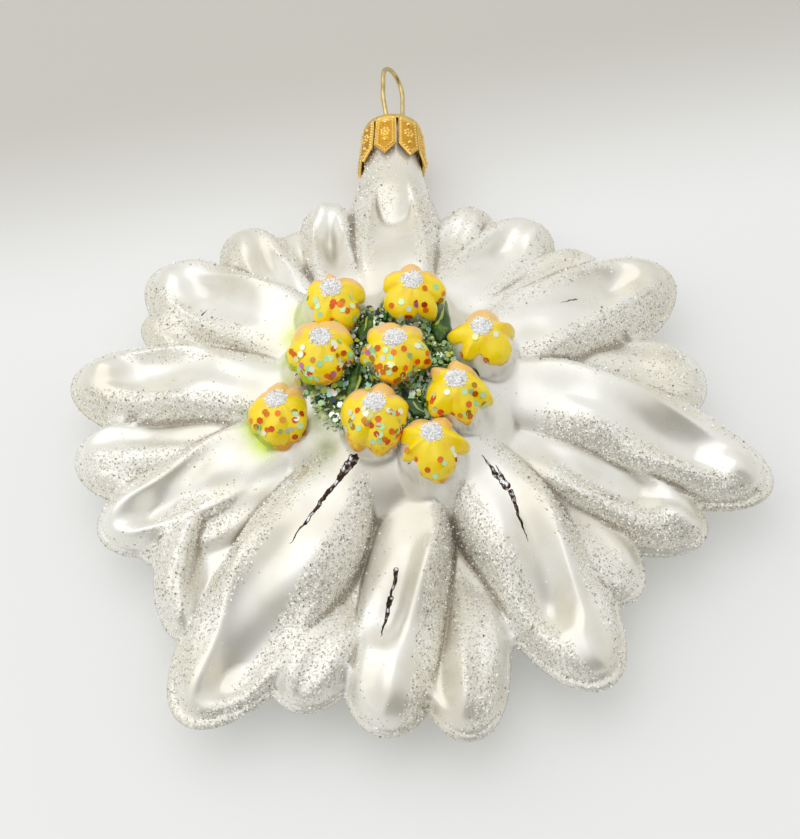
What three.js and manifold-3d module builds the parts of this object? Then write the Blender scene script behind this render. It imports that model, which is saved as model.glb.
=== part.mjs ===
// Edelweiss Christmas ornament: a hollow blown-glass flower lying on its back, with a stamped
// metal crown cap and a wire loop on its neck, and raised enamel florets on its middle.
// Millimetres, +Z up. The rest spot is at the origin, and the neck points along +Y.

import * as THREE from 'three';
import * as BufferGeometryUtils from 'three/addons/utils/BufferGeometryUtils.js';
import Module from 'manifold-3d';

const wasm = await Module();
wasm.setup();

// ---------------------------------------------------------------- driving dimensions

const SEAM_Z = 8; // height of the mould seam, which runs round the flower's edge
const WALL = 0.7; // glass thickness on a level stretch
const SEAM_LEDGE = 1; // height of the small step that the mould leaves along the seam
const VALLEY_FILLET = 0.3; // softness of the valleys where two raised shapes meet

const SECTORS = 156; // steps round the flower
const CORE_RADIUS = 22; // rings inside it are round, rings outside it follow the outline
// Round rings over the boss: [radius, points]. Then shares of the way out to the outline.
const CORE_RINGS = [
  [1.6, 10], [3.2, 20], [4.8, 30], [6.4, 40], [8, 50], [9.6, 60], [11.2, 64], [12.8, 72],
  [14.4, 80], [16, 80], [17.6, 80], [19.6, 80],
];
const FRONT_SHARES = [0, 0.2, 0.38, 0.54, 0.68, 0.8, 0.89, 0.95, 0.985];
const CAVITY_FRONT_SHARES = [0, 0.28, 0.52, 0.74, 0.92];
const BACK_SHARES = [0.985, 0.93, 0.8, 0.6, 0.3];
const CAVITY_BACK_SHARES = [0.9, 0.5];
const BACK_CORE_RINGS = [[22, 64], [17, 48], [12, 40], [8, 32]];
const CAVITY_INSET = 1.8; // the cavity's edge inside the outline

// Each petal springs from the boss at the angle `root` and bends to the angle `tip`, seen from
// above in degrees from +X. `bend` above 1 puts the bend near the root. `reach` is the radius of
// its point, `half` its half width and `taper` the length over which it narrows to the point.
// `high` and `low` are the heights of its ridges above the seam near the root and near the point.
// `trough` is what the hollow between the ridges has of its own; TROUGH gives the rest.
const PETALS = [
  {
    root: 87, tip: 90, bend: 2, reach: 45.5, half: 7.4, taper: 15, high: 12, low: 6.4,
    trough: { depth: 3.2, near: 0, far: 0, width: 0.4, gap: 4 },
  },
  {
    root: 115, tip: 105, bend: 1.5, reach: 41, half: 4.9, taper: 9, high: 10.5, low: 5,
    trough: { depth: 2.4, near: 0.1, far: 0.1, width: 0.42, gap: 5 },
  },
  {
    root: 138, tip: 143, bend: 2, reach: 44.8, half: 8, taper: 16, high: 12, low: 6.2,
    trough: { depth: 2.9, near: 0.1, far: 0.15, width: 0.42, gap: 6 },
  },
  {
    root: 173, tip: 170.2, bend: 2, reach: 47, half: 7.4, taper: 15, high: 12, low: 6.2,
    trough: { depth: 2.8, near: -0.05, far: -0.1, width: 0.44, gap: 6 },
  },
  {
    root: 199, tip: 202.5, bend: 2, reach: 43.8, half: 6.6, taper: 13, high: 11, low: 5.6,
    trough: { depth: 2.8, near: 0.1, far: 0.15, width: 0.44, gap: 4 },
  },
  {
    root: 240, tip: 238.4, bend: 1, reach: 52, half: 9.2, taper: 26, high: 12.4, low: 5.8,
    trough: { depth: 3.4, near: 0, far: 0.3, width: 0.46, gap: 4 },
  },
  {
    root: 285, tip: 269.5, bend: 1.9, reach: 46, half: 6.8, taper: 12, high: 10.5, low: 6,
    trough: { depth: 2.8, near: -0.3, far: -0.35, width: 0.48, gap: 11 },
  },
  {
    root: 321, tip: 307.2, bend: 1.6, reach: 48.6, half: 8.2, taper: 20, high: 12.6, low: 6,
    trough: { depth: 3.4, near: 0, far: -0.28, width: 0.46, gap: 9 },
  },
  {
    root: 343, tip: 339, bend: 2, reach: 46.6, half: 6.5, taper: 14, high: 9, low: 5,
    trough: { depth: 2.4, near: 0.15, far: 0.1, width: 0.45, gap: 6 },
  },
  {
    root: 371, tip: 351, bend: 1.4, reach: 54.2, half: 8.4, taper: 22, high: 12, low: 6.2,
    trough: { depth: 2.8, near: -0.25, far: -0.15, width: 0.42, gap: 7 },
  },
  {
    root: 30.5, tip: 33.4, bend: 2, reach: 49.6, half: 8.4, taper: 17, high: 12, low: 6.2,
    trough: { depth: 2.8, near: 0.08, far: 0.08, width: 0.42, gap: 7 },
  },
  {
    root: 67, tip: 59, bend: 1.5, reach: 42.6, half: 6.8, taper: 12, high: 9.6, low: 5,
    trough: { depth: 2.2 },
  },
  {
    root: 77, tip: 71.5, bend: 1.5, reach: 41, half: 5.2, taper: 10, high: 8.4, low: 4.6,
    trough: { depth: 0.8 },
  },
  {
    root: 131, tip: 124.8, bend: 1.5, reach: 41.8, half: 5.8, taper: 10, high: 8, low: 4.6,
    trough: { depth: 1.6 },
  },
  {
    root: 160, tip: 153, bend: 1.5, reach: 41, half: 4.8, taper: 10, high: 7, low: 3.8,
    trough: { depth: 0 },
  },
  {
    root: 195, tip: 187, bend: 1.5, reach: 45, half: 6.8, taper: 10, high: 7.4, low: 4.2,
    trough: { depth: 1.0, near: -0.4, far: -0.4, width: 0.4 },
  },
  {
    root: 214, tip: 209.5, bend: 1.5, reach: 39.8, half: 6, taper: 11, high: 7, low: 4,
    trough: { depth: 0 },
  },
  {
    root: 182, tip: 227.2, bend: 1, reach: 43.4, half: 5.6, taper: 9, high: 2, low: 5.6,
    trough: { depth: 1.8, near: 0.6, far: 0.6, width: 0.3, gap: 3, start: 20 },
  },
  {
    root: 263, tip: 253.4, bend: 1.5, reach: 44.4, half: 6.8, taper: 12, high: 0.5, low: 5,
    trough: { depth: 0 },
  },
  {
    root: 293, tip: 283.3, bend: 1.5, reach: 47.8, half: 6.9, taper: 16, high: 1.5, low: 6.6,
    trough: { depth: 2.2, near: -0.5, far: -0.45, width: 0.36, gap: 4, start: 26 },
  },
  {
    root: 327, tip: 322.5, bend: 1.5, reach: 42.4, half: 6.8, taper: 12, high: 6.4, low: 4.4,
    trough: { depth: 0 },
  },
  {
    root: 25, tip: 11, bend: 1.5, reach: 46.2, half: 7.4, taper: 10, high: 7, low: 4.2,
    trough: { depth: 0.8, near: 0.3, far: 0.3 },
  },
  {
    root: 49, tip: 45, bend: 1.5, reach: 42.6, half: 5, taper: 10, high: 7.6, low: 4.4,
    trough: { depth: 0 },
  },
];
const PETAL_ROOT_RADIUS = 10;
const PETAL_FLANGE = 1.075; // the raised part stops this much short of the petal's outline
const PETAL_ROUNDNESS = 2.4; // power of the section across a petal; 2 is an ellipse
const PETAL_PAD = 7; // length of the level pad at the point
// Hollow between a petal's ridges. `near` and `far` are its place across the petal at its two ends,
// from -1 to 1, `width` is in shares of the petal's half width, and `gap` is what the point keeps.
const TROUGH = {
  near: 0, far: 0, width: 0.42, gap: 6, start: 9, shiftFrom: 16, runIn: 9, runOut: 7, wall: 2,
  wide: 1.7, narrowing: 0.75, shallow: 0.85, deepening: 0.4, deepFrom: 22, deepTo: 7, softness: 0.14,
};

const DISC = { radius: 37.5, height: 2.2 }; // what joins the petals between their ridges
const BOSS = { x: 0, y: 1, radius: 19.5, height: 13.4 };

// The florets' knobs: nine round bumps on the boss; `sink` is how far one stands below the crown.
const KNOB_RADIUS = 4.4;
const KNOB_STRETCH = 1.15; // a knob is this much taller than round
const KNOB_SKIRT_SLOPE = 2.4; // how steeply its side falls below its widest ring
const KNOB_CROWN = { y: 2, height: 19, fall: 0.011 }; // the low dome that all their tops touch
const KNOBS = [
  { x: -8.3, y: 12.6, turn: 0.4 },
  { x: 2.9, y: 13.6, turn: 1.5 },
  { x: -9.5, y: 3.9, turn: 2.2 },
  { x: 0.5, y: 3.1, turn: 0.9 },
  { x: 12.4, y: 6.1, turn: 2.9 },
  { x: -14.9, y: -3.3, turn: 1.9, sink: 3.2 },
  { x: -2.1, y: -6.5, turn: 0.1 },
  { x: 8.7, y: -2.7, turn: 2.5 },
  { x: 5.4, y: -10.4, turn: 1.2 },
];

const BACK = { petalDepth: 4.6, discDepth: 3.2, domeRadius: 27, restRadius: 8 };

// The neck is round about the seam's level: radius at each distance along Y.
const NECK_OUTSIDE = [
  [3.4, 30], [4.6, 34], [5.7, 37.4], [5.8, 40], [5.1, 43.4], [4.3, 46.4], [3.85, 49], [3.85, 53.6],
];
const NECK_WALL = 0.5;

const CAP = {
  top: 54.4, tips: 46, sheet: 0.45, discRadius: 4.55, tipRadius: 5.4,
  tabs: 8, firstSlot: 8.9, slotTop: 53.2, slotHalf: 0.22, pointStart: 48, sides: 40,
};

const WIRE = {
  radius: 0.36, plane: 60, legs: 1.95, half: 3.05, archStart: 1.6, top: 66.4, waist: 55.2, shoulder: 59.2,
  end: 43.6, endSpread: 3.5, straightEnd: 47, holeGap: 0.3, sides: 4, steps: 46,
};

// Enamel is paint laid on thick. It keeps FIT clear of the faceted glass under it.
const FIT = 0.35;
const ENAMEL = 0.6;
const FLORET = { lobes: 5, edge: 58, wave: 12, outward: 5, clear: 1, sectors: 18, rings: 3 };
const LEAF_PATCHES = [
  { x: -3.4, y: 8.4 },
  { x: 5.6, y: 8.2 },
  { x: 7.3, y: 2.2 },
  { x: -7, y: -1.4 },
  { x: 3.4, y: -4.4 },
];
const LEAF = { climb: 1.8, reach: 4.6, root: 0.4, top: 0.96, sectors: 12, rings: 2, step: 0.1, apart: 0.8 };

// ---------------------------------------------------------------- relief of the flower

const { clamp, degToRad, radToDeg, smoothstep } = THREE.MathUtils;
const BELOW = -9; // stands for "this shape isn't here"

function turnBetween(from, to) {
  return THREE.MathUtils.euclideanModulo(to - from + 180, 360) - 180;
}

/** Place of (x, y) in a petal: `edge` is 0 on its midline and 1 on its outline. */
function petalPlace(petal, x, y) {
  const radius = Math.hypot(x, y);
  const angle = radToDeg(Math.atan2(y, x));
  const along = clamp((radius - PETAL_ROOT_RADIUS) / (petal.reach - PETAL_ROOT_RADIUS), 0, 1);
  const midline = petal.tip + (petal.root - petal.tip) * (1 - along) ** petal.bend;
  const aside = radius * Math.sin(degToRad(clamp(turnBetween(midline, angle), -90, 90)));
  const half = petal.half * (0.6 + 0.4 * smoothstep(radius, 5, petal.reach / 2));
  const point = Math.max(0, (radius - petal.reach + petal.taper) / petal.taper);
  const edge = Math.sqrt((aside / half) ** 2 + point ** 2.6);
  const narrowed = half * Math.sqrt(clamp(1 - Math.min(point, 1) ** 3, 0.02, 1));
  return { radius, edge, across: aside / narrowed };
}

/** Depth of a petal's trough at `radius` from the middle and `across` from -1 to 1. */
function troughDepth(petal, radius, across) {
  const trough = { ...TROUGH, ...petal.trough };
  const end = petal.reach - trough.gap;
  const middle = THREE.MathUtils.lerp(trough.near, trough.far, smoothstep(radius, trough.shiftFrom, end));
  const width = trough.width * (trough.wide - trough.narrowing * smoothstep(radius, end / 2, end));
  const deeper = trough.deepening * smoothstep(radius, end - trough.deepFrom, end - trough.deepTo);
  const runsIn = smoothstep(radius, trough.start, trough.start + trough.runIn);
  const runsOut = 1 - smoothstep(radius, end + trough.wall - trough.runOut, end + trough.wall);
  const inside = 1 - ((across - middle) / width) ** 2; // a parabola with softened brims
  const section = (inside + Math.hypot(inside, trough.softness)) / 2;
  return trough.depth * (trough.shallow + deeper) * runsIn * runsOut * section;
}

function petalHeight(petal, x, y) {
  const { radius, edge, across } = petalPlace(petal, x, y);
  if (edge >= 1) {
    return BELOW;
  }
  const ledge = SEAM_LEDGE * Math.sqrt(1 - edge ** 10);
  const inner = edge * PETAL_FLANGE;
  if (inner >= 1) {
    return ledge;
  }
  const pad = petal.reach - Math.max(PETAL_PAD, petal.trough.gap ?? TROUGH.gap);
  const crest = THREE.MathUtils.lerp(petal.high, petal.low, smoothstep(radius, petal.reach / 2, pad));
  const raised = crest * Math.sqrt(1 - inner ** PETAL_ROUNDNESS);
  return Math.max(ledge, raised - troughDepth(petal, radius, across));
}

function discHeight(x, y) {
  const share = Math.hypot(x, y) / DISC.radius;
  return share < 1 ? DISC.height * Math.sqrt(1 - share ** 6) : BELOW;
}

function bossHeight(x, y) {
  const share = Math.hypot(x - BOSS.x, y - BOSS.y) / BOSS.radius;
  return share < 1 ? BOSS.height * Math.sqrt(1 - share ** 3) : BELOW;
}

/** Height of the widest ring of a knob above the seam. */
function knobMiddle(knob) {
  const outward = knob.x ** 2 + (knob.y - KNOB_CROWN.y) ** 2;
  return KNOB_CROWN.height - KNOB_CROWN.fall * outward - (knob.sink ?? 0) - KNOB_STRETCH * KNOB_RADIUS;
}

function knobHeight(knob, x, y) {
  const off = Math.hypot(x - knob.x, y - knob.y);
  const middle = knobMiddle(knob);
  if (off < KNOB_RADIUS) {
    return middle + KNOB_STRETCH * Math.sqrt(KNOB_RADIUS ** 2 - off ** 2);
  }
  return Math.max(BELOW, middle - KNOB_SKIRT_SLOPE * (off - KNOB_RADIUS));
}

/** The greatest of the heights, with a small fillet where two are nearly alike. */
function softMax(heights) {
  const greatest = Math.max(...heights);
  const sum = heights.reduce((total, h) => total + Math.exp((h - greatest) / VALLEY_FILLET), 0);
  return greatest + VALLEY_FILLET * Math.log(sum);
}

/** Front surface above the seam at (x, y); `skip` leaves one knob out. */
function frontHeight(x, y, skip = null) {
  return softMax([
    discHeight(x, y),
    bossHeight(x, y),
    ...KNOBS.filter((knob) => knob !== skip).map((knob) => knobHeight(knob, x, y)),
    ...PETALS.map((petal) => petalHeight(petal, x, y)),
  ]);
}

/** Depth of the back below the seam: rounded petals round a low dome with a level rest spot. */
function backDepth(x, y) {
  const radius = Math.hypot(x, y);
  if (radius <= BACK.restRadius) {
    return SEAM_Z;
  }
  const domeShare = (radius - BACK.restRadius) / (BACK.domeRadius - BACK.restRadius);
  const share = radius / DISC.radius;
  const petals = PETALS.map((petal) => petalPlace(petal, x, y).edge)
    .map((edge) => (edge < 1 ? BACK.petalDepth * Math.sqrt(1 - edge ** 2.4) : BELOW));
  const depth = softMax([
    domeShare < 1 ? SEAM_Z * Math.sqrt(1 - domeShare ** 2) : BELOW,
    share < 1 ? BACK.discDepth * Math.sqrt(1 - share ** 6) : BELOW,
    ...petals,
  ]);
  return Math.min(SEAM_Z, depth);
}

/** Radius of the flower's outline in one direction. */
function outlineRadius(angle) {
  const farthest = 60;
  const step = 0.05;
  for (let radius = farthest; radius > DISC.radius; radius -= step) {
    const x = radius * Math.cos(angle);
    const y = radius * Math.sin(angle);
    if (PETALS.some((petal) => petalPlace(petal, x, y).edge < 1)) {
      return radius;
    }
  }
  return DISC.radius;
}

// ---------------------------------------------------------------- closed meshes

/** A ring of `count` points round the Z axis, with radius and height given by the angle. */
function ring(count, radiusAt, heightAt) {
  return Array.from({ length: count }, (_, i) => {
    const angle = (2 * Math.PI * i) / count;
    const radius = radiusAt(angle);
    const x = radius * Math.cos(angle);
    const y = radius * Math.sin(angle);
    return new THREE.Vector3(x, y, heightAt(x, y));
  });
}

/**
 * Closed body from rings of points listed from its top pole to its bottom pole. Each ring runs
 * anticlockwise seen from above, rings may differ in their number of points, and a pole is a
 * ring of one point.
 */
function ringBody(rings) {
  const positions = rings.flat().flatMap((point) => point.toArray());
  const starts = rings.map((_, i) => rings.slice(0, i).reduce((sum, r) => sum + r.length, 0));
  const triangles = [];
  for (let level = 0; level + 1 < rings.length; level += 1) {
    const upper = rings[level].length;
    const lower = rings[level + 1].length;
    const upperSteps = upper > 1 ? upper : 0;
    const lowerSteps = lower > 1 ? lower : 0;
    let a = 0;
    let b = 0;
    while (a < upperSteps || b < lowerSteps) {
      const from = starts[level] + (a % upper);
      const below = starts[level + 1] + (b % lower);
      const stepBelow = a === upperSteps || (b < lowerSteps && (b + 0.5) * upper <= (a + 0.5) * lower);
      if (stepBelow) {
        b += 1;
        triangles.push(from, below, starts[level + 1] + (b % lower));
      } else {
        a += 1;
        triangles.push(from, below, starts[level] + (a % upper));
      }
    }
  }
  const geometry = new THREE.BufferGeometry();
  geometry.setAttribute('position', new THREE.Float32BufferAttribute(positions, 3));
  geometry.setIndex(triangles);
  return geometry;
}

function toManifold(geometry) {
  const bare = geometry.clone();
  bare.deleteAttribute('normal');
  bare.deleteAttribute('uv');
  const merged = BufferGeometryUtils.mergeVertices(bare, 1e-4);
  return new wasm.Manifold(new wasm.Mesh({
    numProp: 3,
    vertProperties: new Float32Array(merged.attributes.position.array),
    triVerts: new Uint32Array(merged.index.array),
  }));
}

function fromManifold(solid) {
  const mesh = solid.getMesh();
  const geometry = new THREE.BufferGeometry();
  geometry.setAttribute('position', new THREE.BufferAttribute(mesh.vertProperties, 3));
  geometry.setIndex(new THREE.BufferAttribute(mesh.triVerts, 1));
  return geometry;
}

/** Body of revolution about the line along Y at the seam's level, from [radius, y] points. */
function turnedAlongY(profile, sides) {
  const points = profile.map(([radius, y]) => new THREE.Vector2(radius, y));
  return new THREE.LatheGeometry(points, sides).translate(0, 0, SEAM_Z);
}

// ---------------------------------------------------------------- glass

function outlineRings(shares, count, outline, heightAt) {
  return shares.map((share) => ring(
    count,
    (angle) => THREE.MathUtils.lerp(CORE_RADIUS, outline(angle), share),
    heightAt,
  ));
}

function flowerOutside() {
  const top = (x, y) => SEAM_Z + Math.max(0, frontHeight(x, y));
  const bottom = (x, y) => SEAM_Z - Math.max(0, backDepth(x, y));
  return ringBody([
    ring(1, () => 0, top),
    ...CORE_RINGS.map(([radius, count]) => ring(count, () => radius, top)),
    ...outlineRings(FRONT_SHARES, SECTORS, outlineRadius, top),
    ring(SECTORS, outlineRadius, () => SEAM_Z),
    ...outlineRings(BACK_SHARES, SECTORS, outlineRadius, bottom),
    ...BACK_CORE_RINGS.map(([radius, count]) => ring(count, () => radius, bottom)),
    ring(1, () => 0, bottom),
  ]);
}

/** The least value of `heightAt` round (x, y), so that the wall keeps its thickness on slopes. */
function leastAround(heightAt, x, y) {
  const spread = 0.9;
  const directions = 8;
  const around = Array.from({ length: directions }, (_, i) => (2 * Math.PI * i) / directions);
  return Math.min(
    heightAt(x, y),
    ...around.map((a) => heightAt(x + spread * Math.cos(a), y + spread * Math.sin(a))),
  );
}

function flowerCavity() {
  const edgeSpread = degToRad(2.2);
  const edge = (angle) => Math.min(
    outlineRadius(angle - edgeSpread),
    outlineRadius(angle),
    outlineRadius(angle + edgeSpread),
  ) - CAVITY_INSET;
  const least = 0.15; // keeps the cavity's two faces apart next to the seam
  const top = (x, y) => SEAM_Z + Math.max(least, leastAround(frontHeight, x, y) - WALL);
  const bottom = (x, y) => SEAM_Z - Math.max(least, leastAround(backDepth, x, y) - WALL);
  const backSectors = SECTORS / 2;
  return ringBody([
    ring(1, () => 0, top),
    ...CORE_RINGS.map(([radius, count]) => ring(count, () => radius, top)),
    ...outlineRings(CAVITY_FRONT_SHARES, SECTORS, edge, top),
    ring(SECTORS, edge, () => SEAM_Z),
    ...outlineRings(CAVITY_BACK_SHARES, backSectors, edge, bottom),
    ...BACK_CORE_RINGS.map(([radius, count]) => ring(count, () => radius, bottom)),
    ring(1, () => 0, bottom),
  ]);
}

function glassBody() {
  const sides = 32;
  const [, root] = NECK_OUTSIDE[0];
  const [mouthRadius, mouth] = NECK_OUTSIDE.at(-1);
  const outside = [[0, root], ...NECK_OUTSIDE, [0, mouth]];
  const bore = NECK_OUTSIDE.map(([radius, y]) => [radius - NECK_WALL, y]);
  const past = 1; // the bore's cut runs out past the mouth
  const inside = [[0, root - past], ...bore, [mouthRadius - NECK_WALL, mouth + past], [0, mouth + past]];
  return fromManifold(
    toManifold(flowerOutside())
      .add(toManifold(turnedAlongY(outside, sides)))
      .subtract(toManifold(flowerCavity()))
      .subtract(toManifold(turnedAlongY(inside, sides))),
  );
}

// ---------------------------------------------------------------- cap and wire

/** Solid wedge that parts two tabs: a narrow slot that opens into the gap between two points. */
function capSlot() {
  const halfPitch = CAP.tipRadius * Math.tan(Math.PI / CAP.tabs);
  const outline = new THREE.Shape([
    new THREE.Vector2(-CAP.slotHalf, CAP.slotTop),
    new THREE.Vector2(-CAP.slotHalf, CAP.pointStart),
    new THREE.Vector2(-halfPitch, CAP.tips - 0.1),
    new THREE.Vector2(halfPitch, CAP.tips - 0.1),
    new THREE.Vector2(CAP.slotHalf, CAP.pointStart),
    new THREE.Vector2(CAP.slotHalf, CAP.slotTop),
  ]);
  return new THREE.ExtrudeGeometry(outline, { depth: 5, bevelEnabled: false }).translate(0, 0, 3);
}

function metalCap() {
  const { top, tips, sheet, discRadius, tipRadius, sides } = CAP;
  const outside = [[0, top], [discRadius - 0.5, top], [discRadius, top - 0.5],
    [discRadius + 0.12, top - 1.6], [discRadius + 0.4, top - 4.6], [tipRadius, tips]];
  const inside = outside.slice(2).map(([radius, y]) => [radius - sheet, y]);
  const shell = turnedAlongY([[0, top - sheet], ...inside, ...[...outside].reverse()], sides);
  let cap = toManifold(shell);
  for (let i = 0; i < CAP.tabs; i += 1) {
    const turn = degToRad(CAP.firstSlot + (360 / CAP.tabs) * i);
    cap = cap.subtract(toManifold(capSlot().rotateY(turn).translate(0, 0, SEAM_Z)));
  }
  for (const side of [-1, 1]) {
    const hole = new THREE.CylinderGeometry(WIRE.radius + WIRE.holeGap, WIRE.radius + WIRE.holeGap, 3, 16)
      .translate(side * WIRE.legs, top, 0)
      .rotateY(degToRad(WIRE.plane))
      .translate(0, 0, SEAM_Z);
    cap = cap.subtract(toManifold(hole));
  }
  return fromManifold(cap);
}

/** The wire's centre line, in its own plane: one leg, the loop and the other leg. */
function wireLine() {
  const side = [
    [WIRE.endSpread, WIRE.end],
    [WIRE.legs, WIRE.straightEnd],
    [WIRE.legs, (WIRE.straightEnd + WIRE.waist) / 2],
    [WIRE.legs, WIRE.waist],
    [WIRE.half, WIRE.shoulder],
    [WIRE.half, WIRE.top - WIRE.radius - WIRE.half - WIRE.archStart],
  ];
  const arcPoints = 9;
  const arc = Array.from({ length: arcPoints }, (_, i) => {
    const angle = (Math.PI * i) / (arcPoints - 1);
    return [WIRE.half * Math.cos(angle), WIRE.top - WIRE.radius - WIRE.half * (1 - Math.sin(angle))];
  });
  const otherSide = side.map(([u, y]) => [-u, y]).reverse();
  const points = [...side, ...arc, ...otherSide].map(([u, y]) => new THREE.Vector3(u, y, 0));
  return new THREE.CatmullRomCurve3(points, false, 'centripetal');
}

function hangerWire() {
  const section = new THREE.Shape();
  section.absarc(0, 0, WIRE.radius, 0, 2 * Math.PI);
  return new THREE.ExtrudeGeometry(section, {
    extrudePath: wireLine(),
    steps: WIRE.steps,
    curveSegments: WIRE.sides,
    bevelEnabled: false,
  }).rotateY(degToRad(WIRE.plane)).translate(0, 0, SEAM_Z);
}

// ---------------------------------------------------------------- enamel

const ENAMEL_OUTSIDE = KNOB_RADIUS + FIT + ENAMEL;

/** Point at `reach` from a knob's middle, `slope` degrees down from its top. */
function onKnob(knob, reach, slope, angle) {
  const flat = reach * Math.sin(degToRad(slope));
  return new THREE.Vector3(
    knob.x + flat * Math.cos(angle),
    knob.y + flat * Math.sin(angle),
    SEAM_Z + knobMiddle(knob) + KNOB_STRETCH * reach * Math.cos(degToRad(slope)),
  );
}

/** Distance from a knob's middle, in the measure in which the knob is round. */
function reachFrom(knob, point) {
  const rise = (point.z - SEAM_Z - knobMiddle(knob)) / KNOB_STRETCH;
  return Math.hypot(point.x - knob.x, point.y - knob.y, rise);
}

/** How far down its knob a floret's enamel runs in one direction, in degrees from the top. */
function floretEdge(knob, angle) {
  const outward = Math.atan2(knob.y - BOSS.y, knob.x - BOSS.x);
  const farOut = Math.hypot(knob.x, knob.y) > KNOB_RADIUS;
  const facing = farOut ? Math.max(0, Math.cos(angle - outward)) : 0;
  const wanted = FLORET.edge + FLORET.wave * Math.cos(FLORET.lobes * angle + knob.turn)
    + FLORET.outward * facing;
  const others = KNOBS.filter((other) => other !== knob);
  const stepDegrees = 2;
  for (let slope = 30; slope < wanted; slope += stepDegrees) {
    const outer = onKnob(knob, ENAMEL_OUTSIDE, slope, angle);
    const inner = onKnob(knob, KNOB_RADIUS + FIT, slope, angle);
    const meets = others.some((other) => reachFrom(other, outer) < ENAMEL_OUTSIDE + FIT)
      || inner.z < SEAM_Z + frontHeight(inner.x, inner.y, knob) + FLORET.clear
      || outer.z < SEAM_Z + frontHeight(outer.x, outer.y, knob) + FLORET.clear;
    if (meets) {
      return slope - stepDegrees;
    }
  }
  return wanted;
}

/** The lobed shell of enamel over one knob, grown by `margin` on every side. */
function floretShell(knob, margin = 0) {
  const { sectors, rings } = FLORET;
  const angles = Array.from({ length: sectors }, (_, i) => (2 * Math.PI * i) / sectors);
  const edges = angles.map((angle) => floretEdge(knob, angle) + radToDeg(margin / KNOB_RADIUS));
  const outside = ENAMEL_OUTSIDE + margin;
  const inside = KNOB_RADIUS + FIT - margin;
  const layer = (reach, share) => angles.map((angle, i) => onKnob(knob, reach, edges[i] * share, angle));
  const outer = Array.from({ length: rings }, (_, i) => layer(outside, (i + 1) / (rings + 0.35)));
  const inner = Array.from({ length: rings }, (_, i) => layer(inside, 1 - i / rings));
  return ringBody([
    [onKnob(knob, outside, 0, 0)],
    ...outer,
    layer((outside + inside) / 2, 1),
    ...inner,
    [onKnob(knob, inside, 0, 0)],
  ]);
}

/** How far a patch of leaf enamel reaches before it climbs a knob too far or meets the next one. */
function leafReach(patch, angle) {
  const floor = frontHeight(patch.x, patch.y);
  const others = LEAF_PATCHES.filter((other) => other !== patch);
  for (let reach = LEAF.step; reach < LEAF.reach; reach += LEAF.step) {
    const x = patch.x + reach * Math.cos(angle);
    const y = patch.y + reach * Math.sin(angle);
    const climbs = Math.abs(frontHeight(x, y) - floor) > LEAF.climb;
    const meets = others.some((other) => Math.hypot(x - other.x, y - other.y) < reach + LEAF.apart);
    if (climbs || meets) {
      return reach;
    }
  }
  return LEAF.reach;
}

/** A patch of leaf enamel, cut to clear the glass under it and the florets round it. */
function leafEnamel(patch, glass) {
  const angles = Array.from({ length: LEAF.sectors }, (_, i) => (2 * Math.PI * i) / LEAF.sectors);
  const reaches = angles.map((angle) => leafReach(patch, angle));
  const point = (share, angle, reach, rise) => {
    const x = patch.x + share * reach * Math.cos(angle);
    const y = patch.y + share * reach * Math.sin(angle);
    return new THREE.Vector3(x, y, SEAM_Z + frontHeight(x, y) + rise);
  };
  const layer = (share, rise) => angles.map((angle, i) => point(share, angle, reaches[i], rise));
  const shares = Array.from({ length: LEAF.rings }, (_, i) => (i + 1) / LEAF.rings);
  const blank = ringBody([
    [point(0, 0, 0, FIT + ENAMEL)],
    ...shares.map((share) => layer(share * LEAF.top, FIT + ENAMEL)),
    ...[...shares].reverse().map((share) => layer(share, -LEAF.root)),
    [point(0, 0, 0, -LEAF.root)],
  ]);
  const cutters = [glass, glass.clone().translate(0, 0, FIT), ...KNOBS.map((knob) => floretShell(knob, FIT))];
  const cut = cutters.reduce((left, cutter) => left.subtract(toManifold(cutter)), toManifold(blank));
  const bodies = cut.decompose().sort((a, b) => b.volume() - a.volume());
  return fromManifold(bodies[0]); // the cuts can leave loose scraps, which are dropped
}

// ---------------------------------------------------------------- assembly

function finish(colour, roughness, metalness) {
  return new THREE.MeshStandardMaterial({ color: colour, roughness, metalness });
}

function part(name, geometry, material) {
  const mesh = new THREE.Mesh(geometry, material);
  mesh.name = name;
  return mesh;
}

const pearlGlass = () => finish('#e9e7e0', 0.3, 0.4);
const goldSheet = () => finish('#d9a441', 0.35, 1);
const paleWire = () => finish('#cdbb86', 0.3, 1);
const yellowEnamel = () => finish('#f7c816', 0.4, 0);
const greenEnamel = () => finish('#4d7a35', 0.5, 0);

const ornament = new THREE.Group();
const glass = glassBody();
ornament.add(part('glass_body', glass, pearlGlass()));
ornament.add(part('metal_cap', metalCap(), goldSheet()));
ornament.add(part('hanger_wire', hangerWire(), paleWire()));
KNOBS.forEach((knob, i) => {
  ornament.add(part(`floret_enamel_${i + 1}`, floretShell(knob), yellowEnamel()));
});
LEAF_PATCHES.forEach((patch, i) => {
  ornament.add(part(`leaf_enamel_${i + 1}`, leafEnamel(patch, glass), greenEnamel()));
});

export default ornament;
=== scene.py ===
"""Edelweiss ornament of blown glass: pearl lacquer, glitter, painted florets, stamped cap and wire loop."""

import logging
import math
from collections.abc import Mapping, Sequence
from dataclasses import dataclass
from enum import Enum

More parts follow.
